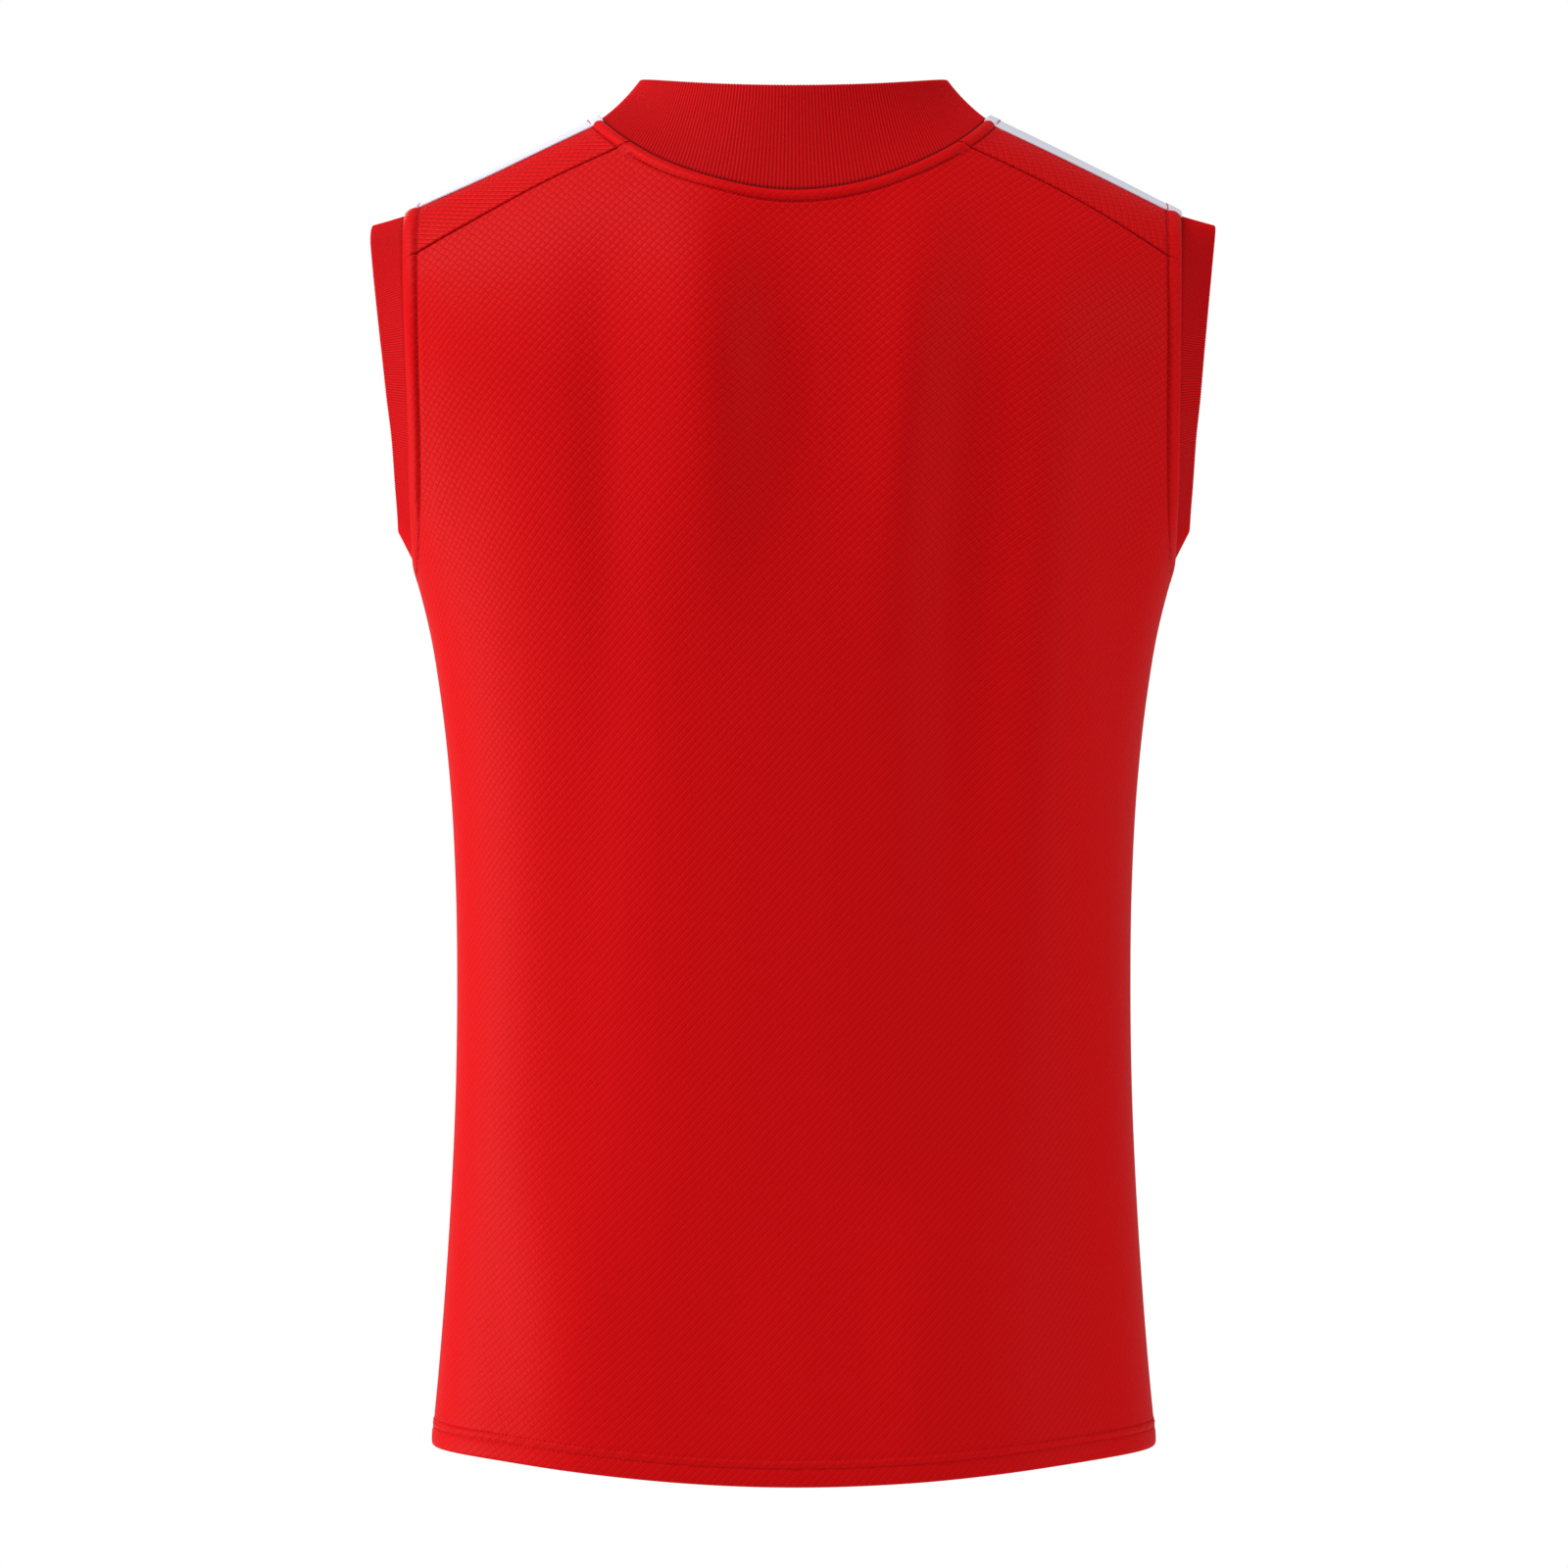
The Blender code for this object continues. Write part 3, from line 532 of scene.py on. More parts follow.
    def armhole_loop(self, hand: Hand) -> tuple[Array, Array]:
        """Traces an armhole seam from the ridge down the back and up the front.

        Args:
            hand: which armhole.

        Returns:
            Points of the closed loop, close together, and the sign of each.
        """
        top = self.TOP_GUESS
        for _ in range(SETTLING):
            top = float(self.ridge_z(self.armhole_x(np.array(top))))
        angle = np.linspace(0, 2 * math.pi, 4 * SAMPLES, endpoint=False)
        z = (top + self.underarm) / 2 + (top - self.underarm) / 2 * np.cos(angle)
        sign = np.where(np.sin(angle) >= 0, 1, -1)
        return self.point(hand.value * self.armhole_x(z), z, sign), sign


# --- Loops and lines ---
@dataclass(frozen=True)
class Loop:
    """A closed seam on the form: its points, their normals, and whether each is behind."""

    points: Array
    normals: Array
    sign: Array

    @staticmethod
    def resample(ring: Array, count: int) -> Array:
        """Spaces stations evenly along a closed line.

        Args:
            ring: the line's points, with the first not repeated.
            count: how many stations.

        Returns:
            Their positions among the given points, as fractional indices.
        """
        length = lengths(closed(ring))
        wanted = np.arange(count) / count * length[-1]
        return np.interp(wanted, length, np.arange(len(length)))

    @staticmethod
    def read(values: Array, index: Array) -> Array:
        """Reads a closed run of values between its points.

        Args:
            values: a value, or a row of them, for each point.
            index: fractional indices.

        Returns:
            The values there.
        """
        low = np.floor(index).astype(int)
        share = index - low
        share = share.reshape(share.shape + (1,) * (values.ndim - 1))
        return (1 - share) * values[low % len(values)] + share * values[(low + 1) % len(values)]

    @classmethod
    def on_seam(cls, form: JerseyForm, traced: tuple[Array, Array], count: int) -> "Loop":
        """Makes a loop of evenly spaced stations from a traced seam.

        Args:
            form: the form.
            traced: what the form's neck_loop or armhole_loop gives.
            count: how many stations.

        Returns:
            The loop, lifted by the soft folds.
        """
        points, normals = form.folded(*traced)
        index = cls.resample(points, count)
        sign = np.where(cls.read(traced[1].astype(float), index) > 0, 1, -1)
        return cls(cls.read(points, index), unit(cls.read(normals, index)), sign)

    def along(self) -> Array:
        """Gives the direction in which the loop runs at each station."""
        return unit(np.roll(self.points, -1, axis=0) - np.roll(self.points, 1, axis=0))

    def away(self) -> Array:
        """Gives the direction in the cloth that leads away from the opening."""
        aside = unit(np.cross(self.normals, self.along()))
        outward = np.sum(aside * (self.points - self.points.mean(axis=0)), axis=-1)
        return aside * np.sign(np.median(outward))


@dataclass(frozen=True)
class SeamLine:
    """A run of sewing, as straight pieces between its points."""

    points: Array

    def nearest(self, points: Array) -> tuple[Array, Array]:
        """Measures how far points lie from the line.

        Args:
            points: any number of points.

        Returns:
            The distance of each, and how far along the line the nearest point lies.
        """
        distance = np.full(points.shape[:-1], np.inf)
        place = np.zeros(points.shape[:-1])
        start = 0.0
        for a, b in zip(self.points[:-1], self.points[1:]):
            run = b - a
            length = float(np.linalg.norm(run))
            share = np.clip(((points - a) @ run) / max(length**2, TINY), 0, 1)
            gap = np.linalg.norm(points - a - share[..., None] * run, axis=-1)
            nearer = gap < distance
            distance = np.where(nearer, gap, distance)
            place = np.where(nearer, start + share * length, place)
            start += length
        return distance, place


@dataclass(frozen=True)
class SeamRelief:
    """Low relief that the sewing gives the cloth, as heights against the distance from a seam."""

    ridge: Table = (
        (0.0, 0.15),
        (0.4, 0.80),
        (1.1, 1.32),
        (2.2, 1.72),
        (3.4, 1.84),
        (4.6, 1.68),
        (5.5, 1.30),
        (6.1, 0.72),
        (6.6, 0.00),
        (7.0, -0.22),
        (7.5, 0.06),
        (8.3, 0.32),
        (9.6, 0.24),
        (11.5, 0.0),
    )
    groove: Table = (
        (0.0, -1.10),
        (0.35, -0.75),
        (0.8, -0.10),
        (1.5, 0.20),
        (3.2, 0.14),
        (6.0, 0.0),
    )
    pucker: float = 0.16
    pucker_pitch: float = 9.4
    pucker_place: float = 5.6
    pucker_width: float = 1.5
    ridge_foot: float = 6.8
    armhole_stretch: float = 1.35
    underarm_share: float = 0.25
    underarm_rise: Pair = (6.0, 42.0)
    groove_end: Pair = (3.0, 8.0)
    drag: float = 0.30
    drag_start: Pair = (7.5, 12.0)
    drag_reach: float = 15.0
    drag_pitches: tuple[float, ...] = (17.0, 26.0, 41.0)
    drag_shift: float = 1.7
    foot_shadow: Pair = (0.65, 0.42)
    edge_shadow: Pair = (0.9, 0.5)
    plain_shadow: Pair = (0.9, 0.6)
    covered_shadow: float = 0.12
    taut_fade: Pair = (1.5, 1.0)

    def ridge_height(self, distance: Array, place: Array) -> Array:
        """Height of a topstitched fold: its profile, stitch puckers and faint drag lines.

        Args:
            distance: distance from the seam.
            place: how far along the seam.

        Returns:
            The relief.
        """
        height = read_table(self.ridge, distance)
        beat = np.sin(2 * math.pi * place / self.pucker_pitch)
        stitched = bell(distance - self.pucker_place, self.pucker_width)
        height = height + self.pucker * beat * stitched
        waves = sum(
            np.sin(2 * math.pi * place / pitch + self.drag_shift * turn)
            for turn, pitch in enumerate(self.drag_pitches)
        )
        beyond = np.exp(-distance / self.drag_reach) * smooth_step(distance, *self.drag_start)
        return height + self.drag / len(self.drag_pitches) * waves * beyond

    def groove_height(self, distance: Array) -> Array:
        """Height of the cloth beside a plain seam, where both edges turn in."""
        return read_table(self.groove, distance)

    def painted_shade(self, ridge_distance: Array, groove_distance: Array, clear: Array) -> Array:
        """Says how much painted shade a point gets in a seam.

        Args:
            ridge_distance: distance from the nearest topstitched seam.
            groove_distance: distance from the nearest plain seam.
            clear: 1 where the plain seam is open, down to 0 under a topstitched fold.

        Returns:
            Painted shade, up to 1 in the depth of a seam, 0 on open cloth.
        """
        foot = self.foot_shadow[0] * bell(ridge_distance - self.ridge_foot, self.foot_shadow[1])
        edge = self.edge_shadow[0] * bell(ridge_distance, self.edge_shadow[1])
        depth = self.covered_shadow + (self.plain_shadow[0] - self.covered_shadow) * clear
        plain = depth * bell(groove_distance, self.plain_shadow[1])
        return np.maximum.reduce([foot, edge, plain])

    def taut(self, ridge_distance: Array) -> Array:
        """Says how smooth the knit is pressed: most on a topstitched fold."""
        before, after = self.taut_fade
        foot = self.ridge_foot
        return 1 - smooth_step(ridge_distance, foot - before, foot + after)


@dataclass(frozen=True)
class HemRelief:
    """Relief of the turned hem, as height and wall against the distance above its edge."""

    outside: Table = (
        (0.0, -0.55),
        (0.4, -0.12),
        (1.0, 0.16),
        (2.4, 0.36),
        (6.0, 0.46),
        (8.4, 0.42),
        (9.3, 0.22),
        (9.9, -0.08),
        (10.4, 0.14),
        (11.3, 0.58),
        (12.5, 0.84),
        (13.3, 0.86),
        (13.8, 0.60),
        (14.3, 0.05),
        (15.2, -0.06),
        (17.2, 0.04),
        (21.0, 0.0),
    )
    wall: Table = (
        (0.0, 0.75),
        (1.0, 1.35),
        (3.0, 1.75),
        (13.4, 1.75),
        (15.1, 1.20),
        (23.0, 1.20),
    )
    stitch_heights: Pair = (9.9, 14.2)
    pucker: float = 0.12
    pucker_pitch: float = 11.0
    pucker_width: float = 0.9
    roping: float = 0.22
    roping_pitch: float = 13.0
    roping_slant: float = 1.3
    roping_place: float = 13.5
    roping_width: float = 3.5
    side_share: float = 0.3
    side_rise: Pair = (3.0, 16.0)
    flat_foot: float = 2.0
    row_shadow: Pair = (0.12, 0.5)
    pressed: float = 0.3
    pressed_fade: float = 2.0

    def height(self, distance: Array, place: Array, side_distance: Array) -> Array:
        """Height of the hem: its profile, stitch puckers, and the slow slant of a pulled hem.

        Args:
            distance: height above the hem's edge.
            place: how far round the hem.
            side_distance: distance from the side seam, where the hem lies flatter.

        Returns:
            The relief.
        """
        height = read_table(self.outside, distance)
        beat = np.sin(2 * math.pi * place / self.pucker_pitch)
        width = self.pucker_width
        for stitch in self.stitch_heights:
            height = height + self.pucker * beat * bell(distance - stitch - width, width)
        along = place + self.roping_slant * distance
        slant = np.sin(2 * math.pi * along / self.roping_pitch)
        upper = bell(distance - self.roping_place, self.roping_width)
        height = height + self.roping * slant * upper
        rise = smooth_step(side_distance, *self.side_rise)
        lie = self.side_share + (1 - self.side_share) * rise
        return np.where(distance > self.stitch_heights[0] - self.flat_foot, lie, 1.0) * height

    def painted_shade(self, distance: Array) -> Array:
        """Says how much painted shade a point gets in the lower row of stitches."""
        depth, width = self.row_shadow
        return depth * bell(distance - self.stitch_heights[0], width)

    def taut(self, distance: Array) -> Array:
        """Says how smooth the knit is pressed: a little on the turned hem."""
        top = self.stitch_heights[1]
        return self.pressed * (1 - smooth_step(distance, top, top + self.pressed_fade))

    def depth(self, distance: Array) -> Array:
        """Wall from the form inwards, doubled below the stitching."""
        return read_table(self.wall, distance)


@dataclass(frozen=True)
class SewnRelief:
    """What the sewing does at a piece's points: height, painted shade in a seam, and pressed knit.
    """

    height: Array
    painted_shade: Array
    taut: Array


class Seams:
    """All the seams of the jersey, and the relief that they raise on a piece's points."""

    REACH = 60.0
    STATIONS = 260
    YOKE_STATIONS = 50

    def __init__(self, form: JerseyForm) -> None:
        """Traces the neck, the armholes and the seams of the shoulder panels."""
        self.form = form
        self.relief = SeamRelief()
        self.neck = [self._ridge(form.neck_loop())]
        self.armholes = [self._ridge(form.armhole_loop(hand)) for hand in Hand]
        self.yokes = [self._yoke(side, hand) for side in Side for hand in Hand]

    def _ridge(self, traced: tuple[Array, Array]) -> SeamLine:
        """Makes a closed seam of a traced one."""
        return SeamLine(closed(Loop.on_seam(self.form, traced, self.STATIONS).points))

    def _yoke(self, side: Side, hand: Hand) -> SeamLine:
        """Traces a shoulder panel's seam from the neck to the armhole.

        Args:
            side: the panel that it joins, back or front.
            hand: which shoulder.

        Returns:
            The seam.
        """
        start = float(self.form.cut(side.value, "yoke_neck"))
        x = hand.value * np.linspace(start, self.form.shoulder_tip, self.YOKE_STATIONS)
        points = self.form.point(x, self.form.yoke_z(x, side.value), side.value)
        return SeamLine(self.form.folded(points, side.value)[0])

    def measure(self, lines: list[SeamLine], points: Array) -> tuple[Array, Array]:
        """Measures how far points lie from the nearest of some seams.

        Args:
            lines: the seams.
            points: points of a piece.

        Returns:
            The distance of each point, large beyond the seams' reach, and the place along.
        """
        distance = np.full(points.shape[:-1], 10 * self.REACH)
        place = np.zeros(points.shape[:-1])
        for line in lines:
            low, high = line.points.min(axis=0), line.points.max(axis=0)
            near = np.all((points > low - self.REACH) & (points < high + self.REACH), axis=-1)
            gap, along = line.nearest(points[near])
            nearer = gap < distance[near]
            distance[near] = np.where(nearer, gap, distance[near])
            place[near] = np.where(nearer, along, place[near])
        return distance, place

    def relief_at(self, points: Array, side_distance: Array | None = None) -> SewnRelief:
        """Works out what the sewing does to a piece.

        Args:
            points: points of the piece.
            side_distance: distance of each from the piece's side seams, if it has any.

        Returns:
            The relief and the values for the finish.
        """
        relief = self.relief
        ridge, place = self.measure(self.neck, points)
        arm, arm_place = self.measure(self.armholes, points)
        arm = arm / relief.armhole_stretch
        ridge, place = np.where(arm < ridge, (arm, arm_place), (ridge, place))
        groove, _ = self.measure(self.yokes, points)
        if side_distance is not None:
            groove = np.minimum(groove, side_distance)
        clear = smooth_step(ridge, *relief.groove_end)
        above = points[..., 2] - self.form.underarm
        lie = relief.underarm_share
        lie = lie + (1 - lie) * smooth_step(above, *relief.underarm_rise)
        height = lie * relief.ridge_height(ridge, place) + clear * relief.groove_height(groove)
        return SewnRelief(height, relief.painted_shade(ridge, groove, clear), relief.taut(ridge))


# --- Meshes ---
@dataclass
class ClothMesh:
    """Points in millimetres, faces of four corners, and each corner's place in the cloth."""

    points: Array
    faces: Array
    corner_uv: Array
    values: dict[str, Array] = field(default_factory=dict)


def lattice(
    rows: int, columns: int, wrap_rows: bool, wrap_columns: bool
) -> tuple[Array, Array, Array]:
    """Lists the faces of a grid of points.

    Args:
        rows: rows of points.
        columns: points in a row.
        wrap_rows: whether the last row joins the first.
        wrap_columns: whether the last column joins the first.

    Returns:
        The corners' indices, and their row and column numbers, which run one past the end
        where the grid joins itself.
    """
    row, column = np.meshgrid(
        np.arange(rows - (not wrap_rows)), np.arange(columns - (not wrap_columns)), indexing="ij"
    )
    corner_rows = np.stack([row, row, row + 1, row + 1], axis=-1).reshape(-1, 4)
    corner_columns = np.stack([column, column + 1, column + 1, column], axis=-1).reshape(-1, 4)
    index = (corner_rows % rows) * columns + corner_columns % columns
    return index, corner_rows, corner_columns


def wall_mesh(outer: Array, inner: Array, uv: Array, **values: Array) -> ClothMesh:
    """Closes two grids of the same shape into a wall of cloth.

    Args:
        outer: rows by columns of outer points.
        inner: the same for the inner face.
        uv: place in the cloth of each point of the grid.
        values: values of the grid's points for the finish, by name. The inner face has 0.

    Returns:
        The wall.
    """
    rows, columns = outer.shape[:2]
    face, _, _ = lattice(rows, columns, False, False)
    number = np.arange(rows * columns).reshape(rows, columns)
    rim = np.concatenate([
        number[0, :-1], number[:-1, -1], number[-1, :0:-1], number[:0:-1, 0],
    ])
    after = np.roll(rim, -1)
    below = rows * columns
    sides = np.stack([rim, rim + below, after + below, after], axis=-1)
    faces = np.concatenate([face, face[:, ::-1] + below, sides])
    flat_uv = np.concatenate([uv.reshape(-1, 2), uv.reshape(-1, 2)])
    points = np.concatenate([outer.reshape(-1, 3), inner.reshape(-1, 3)])
    both = {
        key: np.concatenate([value.ravel(), np.zeros(rows * columns)])
        for key, value in values.items()
    }
    return ClothMesh(points, faces, flat_uv[faces], both)


def weave_mesh(
    name: str, cloth: ClothMesh, material: Material, sharp: float = 55.0
) -> bpy.types.Object:
    """Makes a Blender object of a cloth mesh, with its faces turned outwards.

    Args:
        name: the object's name.
        cloth: the mesh, in millimetres.
        material: its finish.
        sharp: angle in degrees past which an edge is sharp.

    Returns:
        The object, at the origin, unturned and unscaled.
    """
    faces, corner_uv = cloth.faces, cloth.corner_uv
    corners = cloth.points[faces]
    halves = ((0, 1, 2), (0, 2, 3))
    volume = sum(
        np.einsum("ij,ij->", corners[:, a], np.cross(corners[:, b], corners[:, c]))
        for a, b, c in halves
    )
    if volume < 0:
        faces, corner_uv = faces[:, ::-1], corner_uv[:, ::-1]
    mesh = bpy.data.meshes.new(name)
    mesh.vertices.add(len(cloth.points))
    mesh.vertices.foreach_set("co", (cloth.points * MM).astype(np.float32).ravel())
    mesh.loops.add(faces.size)
    mesh.loops.foreach_set("vertex_index", faces.astype(np.int32).ravel())
    mesh.polygons.add(len(faces))
    mesh.polygons.foreach_set("loop_start", np.arange(0, faces.size, 4, dtype=np.int32))
    layer = mesh.uv_layers.new(name=UV_NAME)
    layer.uv.foreach_set("vector", (corner_uv * MM).astype(np.float32).ravel())
    for value_name, values in cloth.values.items():
        attribute = mesh.attributes.new(value_name, "FLOAT", "POINT")
        attribute.data.foreach_set("value", values.astype(np.float32).ravel())
    mesh.update(calc_edges=True)
    mesh.validate()
    mesh.shade_smooth()
    mesh.set_sharp_from_angle(angle=math.radians(sharp))
    mesh.materials.append(material)
    piece = bpy.data.objects.new(name, mesh)
    bpy.context.scene.collection.objects.link(piece)
    return piece


def grid_area(points: Array) -> float:
    """Gives the area of a grid of points in square metres, from its faces' diagonals."""
    a, b = points[1:, 1:] - points[:-1, :-1], points[1:, :-1] - points[:-1, 1:]
    return float(np.linalg.norm(np.cross(a, b), axis=-1).sum()) / 2 * MM**2


# --- Finishes ---
class Graph:
    """Adds shader nodes to a material in few words."""

    def __init__(self, name: str) -> None:
        """Starts a material with an empty Principled BSDF."""
        self.material = bpy.data.materials.new(name)
        self.material.use_nodes = True
        self.tree = self.material.node_tree
        self.shader = self.tree.nodes["Principled BSDF"]

    def add(self, kind: str, **settings: object) -> bpy.types.Node:
        """Adds a node.

        Args:
            kind: its type.
            settings: its properties.

        Returns:
            The node.
        """
        node = self.tree.nodes.new(kind)
        for key, value in settings.items():
            setattr(node, key, value)
        return node

    def feed(self, socket: bpy.types.NodeSocket, value: Value | Colour) -> None:
        """Links an output to a socket, or sets the socket's own value.

        Args:
            socket: the input.
            value: the output or the value.
        """
        if isinstance(value, bpy.types.NodeSocket):
            self.tree.links.new(value, socket)
        else:
            socket.default_value = value

    def math(self, operation: str, a: Value, b: Value = 0.0, clamp: bool = False) -> Value:
        """Adds a Math node.

        Args:
            operation: its operation.
            a: first value or socket.
            b: second value or socket.
            clamp: whether to keep the result from 0 to 1.

        Returns:
            Its output.
        """
        node = self.add("ShaderNodeMath", operation=operation, use_clamp=clamp)
        self.feed(node.inputs[0], a)
        self.feed(node.inputs[1], b)
        return node.outputs[0]

    def plus(self, a: Value, b: Value, clamp: bool = False) -> Value:
        """Adds b to a, and keeps the sum from 0 to 1 if clamp is set."""
        return self.math("ADD", a, b, clamp)

    def minus(self, a: Value, b: Value) -> Value:
        """Takes b from a."""
        return self.math("SUBTRACT", a, b)

    def times(self, a: Value, b: Value) -> Value:
        """Multiplies a by b."""
        return self.math("MULTIPLY", a, b)

    def swing(self, noise: Value, amount: float) -> Value:
        """Turns noise about 0.5 into noise about 0, of the given amount."""
        return self.times(self.minus(noise, 0.5), amount)

    def wave(self, place: Value, pitch: float) -> Value:
        """Gives 0.5 + 0.5 cos(2 pi place / pitch), 1 at each whole pitch."""
        turn = self.math("COSINE", self.times(place, 2 * math.pi / pitch))
        return self.plus(self.times(turn, 0.5), 0.5)

    def step(self, value: Value, low: float, high: float) -> Value:
        """Adds a smooth step from 0 at low to 1 at high.

        Args:
            value: what it reads.
            low: value below which it is 0.
            high: value above which it is 1.

        Returns:
            Its output.
        """
        node = self.add("ShaderNodeMapRange", interpolation_type="SMOOTHSTEP")
        self.feed(node.inputs["Value"], value)
        node.inputs["From Min"].default_value = low
        node.inputs["From Max"].default_value = high
        return node.outputs["Result"]

    def cloth_place(self) -> tuple[Value, Value]:
        """Gives the place in the cloth, across and along it, in metres."""
        place = self.add("ShaderNodeUVMap", uv_map=UV_NAME)
        split = self.add("ShaderNodeSeparateXYZ")
        self.feed(split.inputs[0], place.outputs["UV"])
        return split.outputs["X"], split.outputs["Y"]

    def point_value(self, name: str) -> Value:
        """Reads a value that the mesh carries at its points."""
        return self.add("ShaderNodeAttribute", attribute_name=name).outputs["Fac"]

    def noise(self, scale: float, detail: float = 2.0) -> Value:
        """Adds noise in object space.

        Args:
            scale: its scale, in cells a metre.
            detail: its detail.

        Returns:
            Its value, about 0.5.
        """
        place = self.add("ShaderNodeTexCoord").outputs["Object"]
        node = self.add("ShaderNodeTexNoise")
        self.feed(node.inputs["Vector"], place)
        node.inputs["Scale"].default_value = scale
        node.inputs["Detail"].default_value = detail
        return node.outputs[0]

    def mix(self, share: Value, a: Value | Colour, b: Value | Colour) -> Value:
        """Mixes two colours.

        Args:
            share: how much of b.
            a: first colour.
            b: second colour.

        Returns:
            The mixed colour.
        """
        node = self.add("ShaderNodeMix", data_type="RGBA")
        self.feed(node.inputs["Factor"], share)
        self.feed(node.inputs[6], a)
        self.feed(node.inputs[7], b)
        return node.outputs[2]

    def painted_shade_in_seams(self, colour: Value, dark: Colour) -> Value:
        """Mixes a colour towards a painted shade colour in the depth of the seams."""
        return self.mix(self.point_value(PAINTED_SHADE_VALUE), colour, dark)

    def bump(self, height: Value, distance: float, before: Value | None = None) -> Value:
        """Adds a bump.

        Args:
            height: the height, from 0 to 1.
            distance: how far 1 stands out, in metres.
            before: a normal to start from.

        Returns:
            The bent normal.
        """
        node = self.add("ShaderNodeBump")
        node.inputs["Strength"].default_value = 1.0
        node.inputs["Distance"].default_value = distance
        self.feed(node.inputs["Height"], height)
        if before is not None:
            self.feed(node.inputs["Normal"], before)
        return node.outputs["Normal"]


@dataclass(frozen=True)
class Lustre:
    """Numbers of a cloth's gloss that are the same all over."""

    roughness: float
    specular: float
    sheen: float
    sheen_roughness: float
    sheen_tint: Colour

    def finish(self, graph: Graph, colour: Value, normal: Value) -> Material:
        """Sets a material's shader.

        Args:
            graph: the material's nodes.
            colour: its colour.
            normal: its bent normal.

        Returns:
            The material.
        """
        sockets = graph.shader.inputs
        graph.feed(sockets["Base Color"], colour)
        graph.feed(sockets["Normal"], normal)
        sockets["Roughness"].default_value = self.roughness
        sockets["Specular IOR Level"].default_value = self.specular
        sockets["Sheen Weight"].default_value = self.sheen
        sockets["Sheen Roughness"].default_value = self.sheen_roughness
        sockets["Sheen Tint"].default_value = self.sheen_tint
        return graph.material


@dataclass(frozen=True)
class KnitFinish:
    """Smooth knit with raised diamonds between two sets of fine slanting lines."""

    name: str = "red_diamond_knit"
    colour: Colour = (0.680, 0.0026, 0.0042, 1.0)
    # Painted shade in the grooves of the knit's lines.
    knit_groove_shade_colour: Colour = (0.350, 0.0006, 0.0011, 1.0)
    # Painted highlight beside each slash line, on the side that faces the light.
    painted_highlight_colour: Colour = (0.820, 0.0110, 0.0150, 1.0)
    # Painted shade in the depth of the seams.
    painted_shade_colour: Colour = (0.110, 0.0003, 0.0006, 1.0)
    pitch: float = 0.00313
    slash_angle: float = 42.0
    backslash_angle: float = 138.0
    line_width: float = 0.10
    line_depth: float = 0.45
    painted_groove_share: float = 0.62
    highlight_offset: float = 0.2
    highlight_share: float = 0.55
    dome_height: float = 0.55
    stagger: float = 0.14
    wander: float = 0.0022
    wander_scale: float = 9.0
    patch_scale: float = 14.0
    patch_reach: float = 0.20
    faint_levels: Pair = (-0.16, 0.10)
    faint_strength: float = 0.22
    strength_rise: float = 0.75
    pressed_share: float = 0.5
    yarn_scale: float = 2600.0
    speck: float = 0.40
    relief: float = 0.00017
    grain: float = 0.00004
    lustre: Lustre = Lustre(0.50, 0.05, 0.04, 0.35, (1.0, 0.16, 0.18, 1.0))

    def _line(self, graph: Graph, place: Value) -> Value:
        """Gives 1 on each whole number and 0 away from it, with soft sides."""
        offset = graph.math("ABSOLUTE", graph.minus(graph.math("FRACT", place), 0.5))
        return graph.step(offset, 0.5 - self.line_width, 0.5)

    def build(self) -> Material:
        """Builds the material.

        Returns:
            The material. Its lines are thin grooves with painted shade at whole cells of two
            slanting directions, the second one staggered from row to row and fainter further down,
            between softly domed cells with a painted highlight beside each line of the first set.
        """
        graph = Graph(self.name)
        u, v = graph.cloth_place()
        drift = graph.swing(graph.noise(self.wander_scale), self.wander)
        u, v = graph.plus(u, drift), graph.plus(v, drift)

        def cells(angle: float) -> Value:
            """Counts cells along a slanting direction."""
            turn = math.radians(angle)
            across = graph.times(u, math.cos(turn) / self.pitch)
            return graph.plus(across, graph.times(v, math.sin(turn) / self.pitch))

        slash = cells(self.slash_angle)
        row = graph.math("PINGPONG", graph.math("FLOOR", slash), 1.0)
        backslash = graph.plus(cells(self.backslash_angle), graph.times(row, self.stagger))
        patches = graph.times(graph.noise(self.patch_scale), self.patch_reach)
        strength = graph.step(graph.plus(v, patches), *self.faint_levels)
        strength = graph.plus(graph.times(strength, self.strength_rise), self.faint_strength)
        slash_line = self._line(graph, slash)
        backslash_line = graph.times(self._line(graph, backslash), strength)
        pressed = graph.times(graph.point_value(TAUT_VALUE), self.pressed_share)
        open_cloth = graph.minus(1.0, pressed)
        lines = graph.times(graph.math("MAXIMUM", slash_line, backslash_line), open_cloth)
        dome = graph.times(
            graph.minus(1.0, graph.wave(slash, 1.0)),
            graph.minus(1.0, graph.wave(backslash, 1.0)),
        )
        dome = graph.times(graph.math("SQRT", dome), open_cloth)
        height = graph.minus(
            graph.times(dome, self.dome_height), graph.times(lines, self.line_depth)
        )
        yarn = graph.noise(self.yarn_scale, 1.0)
        normal = graph.bump(yarn, self.grain, graph.bump(height, self.relief))
        # The lines' grooves get painted shade, with yarn specks of random tone.
        shade = graph.times(lines, self.painted_groove_share)
        shade = graph.plus(shade, graph.swing(yarn, self.speck), clamp=True)
        # Painted highlight: a lighter line beside each slash line, on the side that faces the
        # light from the left.
        crest = self._line(graph, graph.plus(slash, self.highlight_offset))
        crest = graph.times(graph.times(crest, open_cloth), self.highlight_share)
        knitted = graph.mix(crest, self.colour, self.painted_highlight_colour)
        knitted = graph.mix(shade, knitted, self.knit_groove_shade_colour)
        colour = graph.painted_shade_in_seams(knitted, self.painted_shade_colour)
        return self.lustre.finish(graph, colour, normal)


